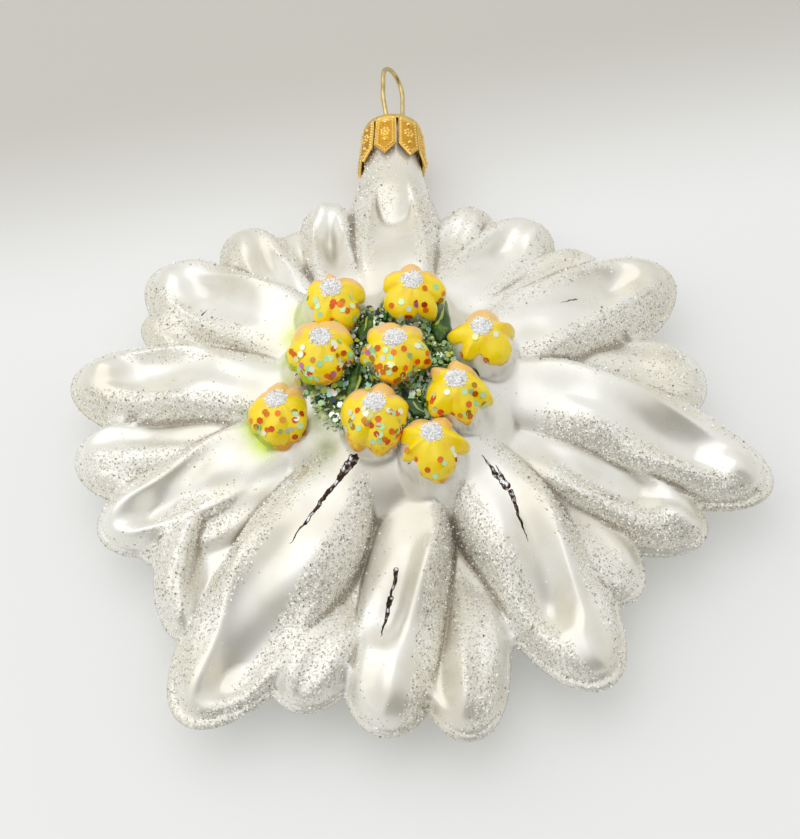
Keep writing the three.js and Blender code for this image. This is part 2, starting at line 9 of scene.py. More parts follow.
import bpy
import numpy as np
from bpy.types import ID, Material, Mesh, Node, NodeSocket, NodeTree, Object
from mathutils import Euler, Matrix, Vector


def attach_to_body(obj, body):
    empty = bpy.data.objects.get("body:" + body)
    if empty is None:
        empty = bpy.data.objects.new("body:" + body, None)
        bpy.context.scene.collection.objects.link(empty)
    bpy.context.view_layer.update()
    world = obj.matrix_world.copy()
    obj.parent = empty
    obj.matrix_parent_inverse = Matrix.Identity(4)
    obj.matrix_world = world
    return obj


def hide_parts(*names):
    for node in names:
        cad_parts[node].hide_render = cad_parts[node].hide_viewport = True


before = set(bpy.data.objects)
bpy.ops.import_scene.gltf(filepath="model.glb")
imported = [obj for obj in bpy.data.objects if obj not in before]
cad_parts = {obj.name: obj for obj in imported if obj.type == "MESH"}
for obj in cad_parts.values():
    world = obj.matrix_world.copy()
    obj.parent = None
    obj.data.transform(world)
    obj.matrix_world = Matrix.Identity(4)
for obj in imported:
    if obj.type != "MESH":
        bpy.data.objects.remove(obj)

LOG = logging.getLogger("edelweiss")
BODY = "root"
MM = 0.001  # one millimetre in metres
SEAM = 8.0  # height of the mould seam above the surface that the ornament lies on, in mm
BELOW = -9.0  # stands for "this shape isn't here"
MID_GREY = (0.5, 0.5, 0.5)  # middle of a texture's colours, taken off to make them lean both ways
ALL_ROUND = 6.283  # turn of loose grains, in radians

Array = np.ndarray
Face = tuple[int, ...]
Point = tuple[float, float, float]
Stops = tuple[tuple[float, str], ...]  # places on a ramp with their hex codes
Value = NodeSocket | float | int | str | bool | Sequence[float] | ID


# ------------------------------------------------------------------ small helpers


def smooth(value: Array | float, low: float, high: float) -> Array:
    """Smooth step from 0 at `low` to 1 at `high`."""
    share = np.clip((np.asarray(value, float) - low) / (high - low), 0.0, 1.0)
    return share * share * (3 - 2 * share)


def paint(code: str) -> tuple[float, float, float, float]:
    """Scene colour of a six-digit hex code such as "f5c400".

    Args:
        code: two hex digits each for red, green and blue.

    Returns:
        Red, green, blue and alpha.
    """
    channels = [int(code[i : i + 2], 16) / 255 for i in (0, 2, 4)]
    red, green, blue = [c / 12.92 if c <= 0.04045 else ((c + 0.055) / 1.055) ** 2.4 for c in channels]
    return red, green, blue, 1.0


def bell(offset: Array, width: float, power: int = 2) -> Array:
    """Bell curve that is 1 at no offset; a higher `power` makes it flatter and steeper."""
    return np.exp(-((offset / width) ** power))


def directions(count: int) -> Array:
    """Angles of `count` points evenly round a circle."""
    return 2 * np.pi * np.arange(count) / count


def turn_between(start: Array | float, end: Array) -> Array:
    """Signed turn from one direction to another, in degrees within half a turn."""
    return (end - start + 180) % 360 - 180


def soft_max(layers: Array, softness: float) -> Array:
    """Greatest of several height layers, with a small fillet where two are nearly alike."""
    greatest = layers.max(0)
    return greatest + softness * np.log(np.exp((layers - greatest) / softness).sum(0))


class Graph:
    """Adds nodes to one node tree and links them."""

    def __init__(self, tree: NodeTree) -> None:
        """Works on `tree`."""
        self.tree = tree

    def connect(self, node: Node, inputs: Mapping[str | int, Value]) -> None:
        """Sets or links inputs of a node, by name or number.

        Args:
            node: the node.
            inputs: value or output socket for each input.
        """
        for key, value in inputs.items():
            if isinstance(value, NodeSocket):
                self.tree.links.new(value, node.inputs[key])
            else:
                node.inputs[key].default_value = value

    def node(self, kind: str, inputs: Mapping[str | int, Value] | None = None, **settings: object) -> Node:
        """Adds one node.

        Args:
            kind: Blender's name of the node type.
            inputs: value or output socket for each input, by name or number.
            **settings: properties of the node itself.

        Returns:
            The new node.
        """
        node = self.tree.nodes.new(kind)
        for name, value in settings.items():
            setattr(node, name, value)
        self.connect(node, inputs or {})
        return node

    def math(self, operation: str, *values: Value) -> NodeSocket:
        """Result of one Math node."""
        return self.node("ShaderNodeMath", dict(enumerate(values)), operation=operation).outputs[0]

    def times(self, first: Value, second: Value) -> NodeSocket:
        """Product of two numbers."""
        return self.math("MULTIPLY", first, second)

    def vector(self, operation: str, *values: Value, scale: Value | None = None) -> NodeSocket:
        """Result of one Vector Math node.

        Args:
            operation: Blender's name of the operation.
            *values: its vectors in order.
            scale: factor of the operation SCALE.

        Returns:
            A number for a dot product or a distance, else a vector.
        """
        inputs: dict[str | int, Value] = dict(enumerate(values))
        if scale is not None:
            inputs["Scale"] = scale
        output = "Value" if operation in ("DOT_PRODUCT", "DISTANCE") else "Vector"
        return self.node("ShaderNodeVectorMath", inputs, operation=operation).outputs[output]

    def mix(self, factor: Value, first: Value, second: Value) -> NodeSocket:
        """Colour between two colours; a fixed one is given by its hex code."""
        first, second = [paint(colour) if isinstance(colour, str) else colour for colour in (first, second)]
        return self.node("ShaderNodeMix", {0: factor, 6: first, 7: second}, data_type="RGBA").outputs[2]

    def blend(self, factor: Value, first: Value, second: Value) -> NodeSocket:
        """Number between two numbers."""
        return self.node("ShaderNodeMix", {0: factor, 2: first, 3: second}, data_type="FLOAT").outputs[0]

    def fade(self, value: Value, low: float, high: float) -> NodeSocket:
        """Smooth step from 0 at `low` to 1 at `high`."""
        inputs = {"Value": value, "From Min": low, "From Max": high}
        return self.node("ShaderNodeMapRange", inputs, interpolation_type="SMOOTHSTEP").outputs[0]

    def ramp(self, value: Value, stops: Stops, stepped: bool = False) -> NodeSocket:
        """Colour looked up on a ramp.

        Args:
            value: place on the ramp.
            stops: the ramp's colours.
            stepped: whether each colour holds up to the next.

        Returns:
            The colour.
        """
        node = self.node("ShaderNodeValToRGB", {0: value})
        ramp = node.color_ramp
        ramp.interpolation = "CONSTANT" if stepped else "LINEAR"
        while len(ramp.elements) < len(stops):
            ramp.elements.new(1.0)
        for element, (place, code) in zip(ramp.elements, stops):
            element.position = place
            element.color = paint(code)
        return node.outputs[0]

    def noise(self, position: Value, scale: float, detail: float = 2.0) -> NodeSocket:
        """Plain noise; `scale` is its number of bumps per unit of `position`."""
        inputs = {"Vector": position, "Scale": scale, "Detail": detail}
        return self.node("ShaderNodeTexNoise", inputs).outputs[0]

    def millimetres(self) -> NodeSocket:
        """Object coordinates in millimetres."""
        return self.vector("SCALE", self.node("ShaderNodeTexCoord").outputs["Object"], scale=1 / MM)

    def attribute(self, name: str) -> NodeSocket:
        """Number stored on the piece's own mesh under `name`, for a shader."""
        return self.node("ShaderNodeAttribute", attribute_name=name).outputs["Fac"]

    def stored(self, name: str) -> NodeSocket:
        """Number stored on the mesh under `name`, for Geometry Nodes."""
        node = self.node("GeometryNodeInputNamedAttribute", {"Name": name}, data_type="FLOAT")
        return node.outputs["Attribute"]

    def random(self, low: float | Point, high: float | Point, seed: int) -> NodeSocket:
        """Random number or vector for each element of a Geometry Nodes tree.

        Args:
            low: least number or vector.
            high: greatest number or vector.
            seed: the seed.

        Returns:
            A number, or a vector where `low` is one.
        """
        if isinstance(low, tuple):
            inputs, kind, output = {0: low, 1: high}, "FLOAT_VECTOR", 0
        else:
            inputs, kind, output = {2: low, 3: high}, "FLOAT", 1
        return self.node("FunctionNodeRandomValue", {**inputs, "Seed": seed}, data_type=kind).outputs[output]

    def coat(self, instances: NodeSocket, material: Material, result: Node) -> None:
        """Ends a Geometry Nodes tree: its instances become one mesh of one material.

        Args:
            instances: what the tree has set.
            material: the material.
            result: the tree's output node.
        """
        solid = self.node("GeometryNodeRealizeInstances", {"Geometry": instances})
        coated = self.node("GeometryNodeSetMaterial", {"Geometry": solid.outputs[0], "Material": material})
        self.connect(result, {0: coated.outputs[0]})


def new_group(
    kind: str, name: str, inputs: Mapping[str, tuple[str, Value | None]], outputs: Mapping[str, str]
) -> tuple[Graph, Node, Node]:
    """Starts a node group.

    Args:
        kind: "ShaderNodeTree" or "GeometryNodeTree".
        name: name of the group.
        inputs: socket type and default of each input.
        outputs: socket type of each output.

    Returns:
        The graph, its input node and its output node.
    """
    tree = bpy.data.node_groups.new(name, kind)
    for label, (socket_type, default) in inputs.items():
        socket = tree.interface.new_socket(name=label, in_out="INPUT", socket_type=f"NodeSocket{socket_type}")
        if default is not None:
            socket.default_value = default
    for label, socket_type in outputs.items():
        tree.interface.new_socket(name=label, in_out="OUTPUT", socket_type=f"NodeSocket{socket_type}")
    return Graph(tree), tree.nodes.new("NodeGroupInput"), tree.nodes.new("NodeGroupOutput")


def make_piece(
    name: str, points: Array, faces: Sequence[Face], attributes: Mapping[str, Array] | None = None
) -> Object:
    """Makes a smooth-shaded mesh object at the origin.

    Args:
        name: name of the object and of its mesh.
        points: corner points in millimetres.
        faces: corner numbers of each face, anticlockwise seen from outside.
        attributes: one number per point for each name.

    Returns:
        The new object.
    """
    mesh = bpy.data.meshes.new(name)
    mesh.from_pydata((np.asarray(points, float) * MM).tolist(), [], [tuple(map(int, face)) for face in faces])
    mesh.validate()
    mesh.polygons.foreach_set("use_smooth", np.ones(len(mesh.polygons), bool))
    for label, values in (attributes or {}).items():
        mesh.attributes.new(label, "FLOAT", "POINT").data.foreach_set("value", np.asarray(values, np.float32))
    mesh.update()
    piece = bpy.data.objects.new(name, mesh)
    bpy.context.scene.collection.objects.link(piece)
    return piece


def ring_faces(counts: Sequence[int]) -> list[Face]:
    """Faces of a closed body of rings, listed from its top pole to its bottom pole.

    Args:
        counts: points in each ring; a pole has one, and neighbours are equal or differ by a factor of two.

    Returns:
        Faces that point outwards where the rings run anticlockwise seen from the first pole.
    """
    faces: list[Face] = []
    start = 0
    for upper, lower in zip(counts, counts[1:]):
        reach = range(max(upper, lower) + 1)
        top = [start + i % upper for i in reach]
        low = [start + upper + i % lower for i in reach]
        if upper == 1:
            faces += [(start, low[i], low[i + 1]) for i in range(lower)]
        elif lower == 1:
            faces += [(top[i], low[0], top[i + 1]) for i in range(upper)]
        elif upper == lower:
            faces += [(top[i], low[i], low[i + 1], top[i + 1]) for i in range(upper)]
        elif lower == 2 * upper:
            for i in range(upper):
                left, middle, right = low[2 * i : 2 * i + 3]
                faces += [(top[i], left, middle), (top[i], middle, top[i + 1]), (top[i + 1], middle, right)]
        else:
            for i in range(lower):
                left, middle, right = top[2 * i : 2 * i + 3]
                faces += [(left, low[i], middle), (middle, low[i], low[i + 1]), (middle, low[i + 1], right)]
        start += upper
    return faces


def sheet_faces(rows: int, columns: int) -> list[Face]:
    """Faces of a closed sheet: a grid of points row by row, and the same grid again for its other side.

    Args:
        rows: number of rows.
        columns: points in each row.

    Returns:
        Faces; seen from outside, with the next row of the first grid ahead, the rows run to the left.
    """
    count = rows * columns
    faces: list[Face] = []
    for i in range(rows - 1):
        for j in range(columns - 1):
            a, b = i * columns + j, (i + 1) * columns + j
            faces += [(b, b + 1, a + 1, a), (count + a + 1, count + b + 1, count + b, count + a)]
    rim = list(range(columns))
    rim += [i * columns + columns - 1 for i in range(1, rows)]
    rim += [(rows - 1) * columns + j for j in range(columns - 2, -1, -1)]
    rim += [i * columns for i in range(rows - 2, 0, -1)]
    return faces + [(b, b + count, a + count, a) for a, b in zip(rim, rim[1:] + rim[:1])]


def turned_body(profile: Sequence[tuple[float, float]], sides: int) -> tuple[Array, list[Face]]:
    """Closed body of revolution about the neck's axis.

    Args:
        profile: (radius, distance along Y) from the mouth's pole to the far pole; both end on the axis.
        sides: points round each ring.

    Returns:
        Points in millimetres and faces.
    """
    rings: list[Array] = []
    for radius, along in profile:
        turn = directions(sides) if radius > 0 else np.zeros(1)
        level = np.full(len(turn), along)
        rings.append(np.column_stack([radius * np.cos(turn), level, SEAM - radius * np.sin(turn)]))
    return np.vstack(rings), ring_faces([len(ring) for ring in rings])


# ------------------------------------------------------------------ shape of the flower


@dataclass(frozen=True)
class Band:
    """Strip of glitter along a petal; `centre` and `half` are in shares of the petal's half width."""

    centre: float
    half: float
    amount: float
    start: float = 14.0


def ridge_bands(right: float, left: float, start: float = 14.0) -> tuple[Band, Band]:
    """Glitter on the two ridges beside a trough; right and left are seen from the flower's middle."""
    return Band(-0.72, 0.34, right, start), Band(0.72, 0.34, left, start)


@dataclass(frozen=True)
class Trough:
    """Hollow along a petal.

    `near` and `far` are its place across the petal at its two ends, and `gap` is what the tip keeps.
    """

    depth: float
    near: float = 0.0
    far: float = 0.0
    width: float = 0.42
    gap: float = 6.0
    start: float = 9.0


@dataclass(frozen=True)
class Petal:
    """One petal; angles in degrees from +X seen from above, lengths in mm, heights above the seam."""

    root: float
    tip: float
    bend: float
    reach: float
    half: float
    taper: float
    high: float
    low: float
    trough: Trough
    bands: tuple[Band, ...]


PETALS = (
    Petal(87, 90, 2, 45.5, 7.4, 15, 12, 6.4, Trough(3.2, 0, 0, 0.4, 4), ridge_bands(0.45, 0.45, 20)),
    Petal(115, 105, 1.5, 41, 4.9, 9, 10.5, 5, Trough(2.4, 0.1, 0.1, 0.42, 5), ridge_bands(0.35, 0.35, 20)),
    Petal(138, 143, 2, 44.8, 8, 16, 12, 6.2, Trough(2.9, 0.1, 0.15, 0.42, 6), ridge_bands(0.35, 0.5, 18)),
    Petal(173, 170.2, 2, 47, 7.4, 15, 12, 6.2, Trough(2.8, -0.05, -0.1, 0.44, 6), ridge_bands(0.4, 0.75, 16)),
    Petal(199, 202.5, 2, 43.8, 6.6, 13, 11, 5.6, Trough(2.8, 0.1, 0.15, 0.44, 4), ridge_bands(0.35, 0.1, 20)),
    Petal(240, 238.4, 1, 52, 9.2, 26, 12.4, 5.8, Trough(3.4, 0, 0.3, 0.46, 4),
          (Band(-0.78, 0.46, 0.75, 11), Band(0.74, 0.38, 0.9, 11))),
    Petal(285, 269.5, 1.9, 46, 6.8, 12, 10.5, 6, Trough(2.8, -0.3, -0.35, 0.48, 11),
          ridge_bands(0.05, 0.8, 15)),
    Petal(321, 307.2, 1.6, 48.6, 8.2, 20, 12.6, 6, Trough(3.4, 0, -0.28, 0.46, 9), ridge_bands(0.9, 0.5, 12)),
    Petal(343, 339, 2, 46.6, 6.5, 14, 9, 5, Trough(2.4, 0.15, 0.1, 0.45, 6), (Band(-0.5, 0.42, 0.9, 22),)),
    Petal(371, 351, 1.4, 54.2, 8.4, 22, 12, 6.2, Trough(2.8, -0.25, -0.15, 0.42, 7),
          ridge_bands(0.9, 0.3, 19)),
    Petal(30.5, 33.4, 2, 49.6, 8.4, 17, 12, 6.2, Trough(2.8, 0.08, 0.08, 0.42, 7),
          ridge_bands(0.8, 0.35, 15)),
    Petal(67, 59, 1.5, 42.6, 6.8, 12, 9.6, 5, Trough(2.2), ridge_bands(0.4, 0.4, 20)),
    Petal(77, 71.5, 1.5, 41, 5.2, 10, 8.4, 4.6, Trough(0.8), (Band(0, 0.7, 0.35, 20),)),
    Petal(131, 124.8, 1.5, 41.8, 5.8, 10, 8, 4.6, Trough(1.6), ridge_bands(0.35, 0.35, 20)),
    Petal(160, 153, 1.5, 41, 4.8, 10, 7, 3.8, Trough(0), (Band(0.2, 0.6, 0.5, 20),)),
    Petal(195, 187, 1.5, 45, 6.8, 10, 7.4, 4.2, Trough(1.0, -0.4, -0.4, 0.4), (Band(0.45, 0.5, 0.6, 22),)),
    Petal(214, 209.5, 1.5, 39.8, 6, 11, 7, 4, Trough(0), (Band(0.1, 0.6, 0.85, 24),)),
    Petal(182, 227.2, 1, 43.4, 5.6, 9, 2, 5.6, Trough(1.8, 0.6, 0.6, 0.3, 3, 20),
          (Band(-0.15, 0.85, 0.6, 20),)),
    Petal(263, 253.4, 1.5, 44.4, 6.8, 12, 0.5, 5, Trough(0), (Band(0.1, 0.6, 0.75, 22),)),
    Petal(293, 283.3, 1.5, 47.8, 6.9, 16, 1.5, 6.6, Trough(2.2, -0.5, -0.45, 0.36, 4, 26),
          (Band(0.3, 0.42, 0.85, 22),)),
    Petal(327, 322.5, 1.5, 42.4, 6.8, 12, 6.4, 4.4, Trough(0), (Band(-0.3, 0.6, 0.65, 24),)),
    Petal(25, 11, 1.5, 46.2, 7.4, 10, 7, 4.2, Trough(0.8, 0.3, 0.3), (Band(0, 0.75, 0.4, 22),)),
    Petal(49, 45, 1.5, 42.6, 5, 10, 7.6, 4.4, Trough(0), (Band(0.3, 0.6, 0.35, 20),)),
)


@dataclass(frozen=True)
class Knob:
    """One round bump of the flower's middle, which carries a floret.

    `turn` turns the floret's lobes, `ragged` is how deeply they are parted and `sequins` how many lie on it.
    `drape` is how much further its paint reaches down on the side away from the flower's middle, in degrees,
    `dot` is where its crystals lie and `sink` how far it stands below the dome that the others touch, in mm.
    """

    x: float
    y: float
    turn: float
    ragged: float
    sequins: float
    drape: float = 12.0
    dot: tuple[float, float] = (-0.1, 0.35)
    sink: float = 0.0


KNOBS = (
    Knob(-8.3, 12.6, 0.4, 0.25, 0.7, -28),
    Knob(2.9, 13.6, 1.5, 0.15, 0.8, -8),
    Knob(-9.5, 3.9, 2.2, 0.1, 1.7, 20),
    Knob(0.5, 3.1, 0.9, 0.35, 1.7),
    Knob(12.4, 6.1, 2.9, 0.9, 0.35),
    Knob(-14.9, -3.3, 1.9, 0.0, 1.0, 48, (-0.8, 0.7), 3.2),
    Knob(-2.1, -6.5, 0.1, 0.2, 1.3, 20),
    Knob(8.7, -2.7, 2.5, 0.7, 0.8),
    Knob(5.4, -10.4, 1.2, 1.0, 0.7),
)


@dataclass(frozen=True)
class Relief:
    """Heights of the flower's front and depths of its back, measured from the seam in mm."""

    petal_root: float = 10.0
    disc_radius: float = 37.5
    disc_height: float = 2.2
    disc_depth: float = 3.2
    petal_depth: float = 4.6
    boss_y: float = 1.0
    boss_radius: float = 19.5
    boss_height: float = 13.4
    knob_radius: float = 4.4
    knob_stretch: float = 1.15
    knob_skirt: float = 2.4
    crown_y: float = 2.0
    crown_height: float = 19.0
    crown_fall: float = 0.011
    flange: float = 1.075
    ripple: float = 0.28
    fillet: float = 0.3
    crease_rings: tuple[tuple[float, float], ...] = ((0.45, 1.6), (1.1, 0.6))
    glitter_seam: float = 0.5
    glitter_stray: float = 0.003
    glitter_tip: float = 0.28
    glitter_neck: float = 0.45
    outline_limit: float = 60.0
    outline_step: float = 0.5
    outline_halvings: int = 7
    dome_radius: float = 27.0
    rest_radius: float = 8.0
    neck_start: float = 31.0
    neck_end: float = 51.0
    neck: tuple[tuple[float, float], ...] = (
        (3.4, 30), (4.6, 34), (5.7, 37.4), (5.8, 40), (5.1, 43.4), (4.3, 46.4), (3.85, 49), (3.85, 53.6),
    )

    def neck_radius(self, y: Array) -> Array:
        """Radius of the neck at a distance along Y."""
        return np.interp(y, [p[1] for p in self.neck], [p[0] for p in self.neck])

    def place(self, petal: Petal, x: Array, y: Array) -> tuple[Array, Array, Array, Array]:
        """Place of points in a petal.

        Args:
            petal: the petal.
            x: X of the points.
            y: Y of the points.

        Returns:
            Radius; edge, which is 0 on the midline and 1 on the outline; across, from -1 to 1; and point,
            which grows from 0 to 1 over the tapered end.
        """
        radius = np.hypot(x, y)
        angle = np.degrees(np.arctan2(y, x))
        along = np.clip((radius - self.petal_root) / (petal.reach - self.petal_root), 0, 1)
        midline = petal.tip + (petal.root - petal.tip) * (1 - along) ** petal.bend
        aside = radius * np.sin(np.radians(np.clip(turn_between(midline, angle), -90, 90)))
        half = petal.half * (0.6 + 0.4 * smooth(radius, 5, petal.reach / 2))
        point = np.maximum(0, (radius - petal.reach + petal.taper) / petal.taper)
        edge = np.sqrt((aside / half) ** 2 + point**2.6)
        narrowed = half * np.sqrt(np.clip(1 - np.minimum(point, 1) ** 3, 0.02, 1))
        return radius, edge, aside / narrowed, point

    def petal_height(self, petal: Petal, x: Array, y: Array) -> Array:
        """Front height of one petal: ledge at the seam, two ridges and a trough that ends in a smooth pad.

        Args:
            petal: the petal.
            x: X of the points in mm.
            y: Y of the points in mm.

        Returns:
            Heights above the seam.
        """
        radius, edge, across, point = self.place(petal, x, y)
        ledge = np.sqrt(np.clip(1 - edge**10, 0, 1))
        inner = np.clip(edge * self.flange, 0, 1)
        trough = petal.trough
        end = petal.reach - trough.gap
        pad = min(end, petal.reach - 7)
        crest = petal.high + (petal.low - petal.high) * smooth(radius, petal.reach / 2, pad)
        width = trough.width * (1.7 - 0.75 * smooth(radius, 0.5 * end, end))
        middle = trough.near + (trough.far - trough.near) * smooth(radius, 16, end)
        inside = 1 - ((across - middle) / width) ** 2
        hollow = trough.depth * (inside + np.hypot(inside, 0.14)) / 2
        hollow *= smooth(radius, trough.start, trough.start + 9) * (1 - smooth(radius, end - 5, end + 2))
        hollow *= 0.85 + 0.4 * smooth(radius, end - 22, end - 7)
        waves = np.sin(8.2 * across + 0.21 * radius + petal.tip)
        waves = waves + 0.8 * np.sin(4.6 * across - 0.34 * radius + petal.root)
        ripple = self.ripple * waves * smooth(radius, 19, 27) * (1 - smooth(edge, 0.7, 0.95))
        height = crest * np.sqrt(1 - inner**2.4) - hollow + ripple
        return np.where(edge < 1, np.maximum(ledge, height), BELOW)

    def knob_middle(self, knob: Knob) -> float:
        """Height of a knob's widest ring.

        Args:
            knob: the knob.

        Returns:
            The height above the seam.
        """
        outward = knob.x**2 + (knob.y - self.crown_y) ** 2
        top = self.crown_height - self.crown_fall * outward - knob.sink
        return top - self.knob_stretch * self.knob_radius

    def knob_height(self, knob: Knob, x: Array, y: Array) -> Array:
        """Front height of one knob with its skirt.

        Args:
            knob: the knob.
            x: X of the points in mm.
            y: Y of the points in mm.

        Returns:
            Heights above the seam.
        """
        off = np.hypot(x - knob.x, y - knob.y)
        middle = self.knob_middle(knob)
        dome = middle + self.knob_stretch * np.sqrt(np.clip(self.knob_radius**2 - off**2, 0, None))
        skirt = np.maximum(BELOW, middle - self.knob_skirt * (off - self.knob_radius))
        return np.where(off < self.knob_radius, dome, skirt)

    def bulge(self, offset: Array, radius: float, height: float, power: float) -> Array:
        """Height of a round swelling at `offset` from its middle."""
        share = offset / radius
        return np.where(share < 1, height * np.sqrt(np.clip(1 - share**power, 0, 1)), BELOW)

    def neck_height(self, x: Array, y: Array) -> Array:
        """Height of the round neck.

        Args:
            x: X of the points in mm.
            y: Y of the points in mm.

        Returns:
            Heights above its axis.
        """
        radius = self.neck_radius(y)
        inside = (np.abs(x) < radius) & (y > self.neck_start) & (y < self.neck_end)
        return np.where(inside, np.sqrt(np.clip(radius**2 - x**2, 0, None)), BELOW)

    def layers(self, x: Array, y: Array, skip: Knob | None = None) -> Array:
        """Front height of every shape: disc, boss and neck, the knobs but `skip`, then the petals.

        Args:
            x: X of the points in mm.
            y: Y of the points in mm.
            skip: knob that is left out.

        Returns:
            One row of heights above the seam for each shape.
        """
        knobs = [self.knob_height(knob, x, y) for knob in KNOBS if knob is not skip]
        return np.stack([
            self.bulge(np.hypot(x, y), self.disc_radius, self.disc_height, 6),
            self.bulge(np.hypot(x, y - self.boss_y), self.boss_radius, self.boss_height, 3),
            self.neck_height(x, y),
            *knobs,
            *[self.petal_height(petal, x, y) for petal in PETALS],
        ])

    def front(self, x: Array, y: Array, skip: Knob | None = None) -> Array:
        """Height of the front surface above the seam."""
        return np.maximum(0, soft_max(self.layers(x, y, skip), self.fillet))

    def back(self, x: Array, y: Array) -> Array:
        """Depth of the back surface below the seam.

        Args:
            x: X of the points in mm.
            y: Y of the points in mm.

        Returns:
            Depths in mm.
        """
        radius = np.hypot(x, y)
        past_rest = np.maximum(0, radius - self.rest_radius)
        edges = [self.place(petal, x, y)[1] for petal in PETALS]
        petals = [self.petal_depth * np.sqrt(np.clip(1 - edge**2.4, 0, 1)) for edge in edges]
        depth = soft_max(np.stack([
            self.bulge(past_rest, self.dome_radius - self.rest_radius, SEAM, 2),
            self.bulge(radius, self.disc_radius, self.disc_depth, 6),
            self.neck_height(x, y),
            *[np.where(edge < 1, petal, BELOW) for edge, petal in zip(edges, petals)],
        ]), self.fillet)
        return np.clip(np.where(radius <= self.rest_radius, SEAM, depth), 0, SEAM)

    def covered(self, x: Array, y: Array) -> Array:
        """Whether a petal or the neck covers each point.

        Args:
            x: X of the points in mm.
            y: Y of the points in mm.

        Returns:
            True where one does.
        """
        inside = self.neck_height(x, y) > BELOW
        for petal in PETALS:
            inside |= self.place(petal, x, y)[1] < 1
        return inside

    def outline_radius(self, angles: Array) -> Array:
        """Radius of the flower's outline in each direction.

        Args:
            angles: directions in radians.

        Returns:
            Radii in mm.
        """
        steps = np.arange(self.outline_limit, self.disc_radius, -self.outline_step)
        inside = self.covered(np.outer(steps, np.cos(angles)), np.outer(steps, np.sin(angles)))
        first = inside.argmax(0)
        inner = np.where(inside.any(0), steps[first], self.disc_radius)
        outer = inner + self.outline_step
        for _ in range(self.outline_halvings):
            middle = (inner + outer) / 2
            hit = self.covered(middle * np.cos(angles), middle * np.sin(angles))
            inner, outer = np.where(hit, middle, inner), np.where(hit, outer, middle)
        return inner

    def glitter(self, x: Array, y: Array) -> Array:
        """Share of the front surface that glitter covers at each point.

        Args:
            x: X of the points in mm.
            y: Y of the points in mm.

        Returns:
            Shares from 0 to 1.
        """
        layers = self.layers(x, y)
        petals = layers[-len(PETALS) :]
        weights = np.exp((petals - layers.max(0)) / self.glitter_seam)
        amount = np.zeros_like(x)
        for petal, weight in zip(PETALS, weights):
            radius, edge, across, point = self.place(petal, x, y)
            tip = self.glitter_tip * smooth(edge, 0.86, 0.95) * smooth(point, 0.3, 0.8)
            cover = self.glitter_stray + tip
            for band in petal.bands:
                strip = 1 - smooth(np.abs(across - band.centre), band.half * 0.7, band.half * 1.15)
                start = smooth(radius, band.start, band.start + 5)
                cover = np.maximum(cover, band.amount * strip * start * (1 - 0.35 * smooth(point, 0.6, 1)))
            amount += weight * cover
        neck = np.exp((layers[2] - layers.max(0)) / self.glitter_seam) * smooth(-x, -2, 3)
        return np.clip(amount + neck * self.glitter_neck, 0, 1)

    def recess(self, x: Array, y: Array, height: Array) -> Array:
        """How deep each point of the front lies in a crease, in mm, from rings of two sizes round it; shade
        is painted there.

        Args:
            x: X of the points in mm.
            y: Y of the points in mm.
            height: height of the points above the seam.

        Returns:
            Depths in mm.
        """
        turns = np.arange(6) * np.pi / 3
        total = np.zeros_like(x)
        for reach, weight in self.crease_rings:
            ring = [self.front(x + reach * math.cos(t), y + reach * math.sin(t)) for t in turns]
            total += weight * np.clip(sum(ring) / len(turns) - height, 0, 2)
        # The painted crease shade is weaker near the knobs and fades out low on the flower.
        knobs = np.min([np.hypot(x - knob.x, y - knob.y) for knob in KNOBS], axis=0)
        return total * (0.3 + 0.7 * smooth(knobs, 6.5, 9)) * smooth(height, 1.0, 3.2)


RELIEF = Relief()


# ------------------------------------------------------------------ finishes


class Slot(Enum):
    """The record's finishes."""

    PEARL = "pearl_glass"
    SHEET = "gold_sheet"
    WIRE = "gold_wire"
    YELLOW = "yellow_enamel"
    GREEN = "green_enamel"
    CRYSTAL = "crystal_glitter"
    SEQUINS = "sequins"


def sugar_group() -> NodeTree:
    """Shader group for fine sugar glitter: where its grains are, their colour and their tilted normals.

    Returns:
        The group.
    """
    sizes = {"Cover": 0.5, "Grain": 0.25, "Body": 0.62, "Tilt": 0.75}
    inputs = {name: ("Float", size) for name, size in sizes.items()}
    outputs = {"Mask": "Float", "Colour": "Color", "Normal": "Vector"}
    graph, given, result = new_group("ShaderNodeTree", "SugarGrains", inputs, outputs)
    pitch = graph.math("DIVIDE", 1.0, given.outputs["Grain"])
    place = graph.vector("SCALE", graph.millimetres(), scale=pitch)
    cells = graph.node("ShaderNodeTexVoronoi", {"Vector": place, "Scale": 1.0})
    split = graph.node("ShaderNodeSeparateColor", {0: cells.outputs["Color"]})
    present = graph.math("LESS_THAN", split.outputs[0], given.outputs["Cover"])
    mask = graph.times(present, graph.math("LESS_THAN", cells.outputs["Distance"], given.outputs["Body"]))
    colour = graph.ramp(split.outputs[1], (
        (0.0, "9b9580"), (0.08, "bab49f"), (0.25, "dedac8"), (0.6, "ebe8da"), (0.82, "f8f5ea"),
        (1.0, "ffffff"),
    ))
    lean = graph.vector("SUBTRACT", cells.outputs["Color"], MID_GREY)
    lean = graph.vector("SCALE", lean, scale=graph.times(given.outputs["Tilt"], mask))
    level = graph.node("ShaderNodeNewGeometry").outputs["Normal"]
    normal = graph.vector("NORMALIZE", graph.vector("ADD", level, lean))
    graph.connect(result, {"Mask": mask, "Colour": colour, "Normal": normal})
    return graph.tree


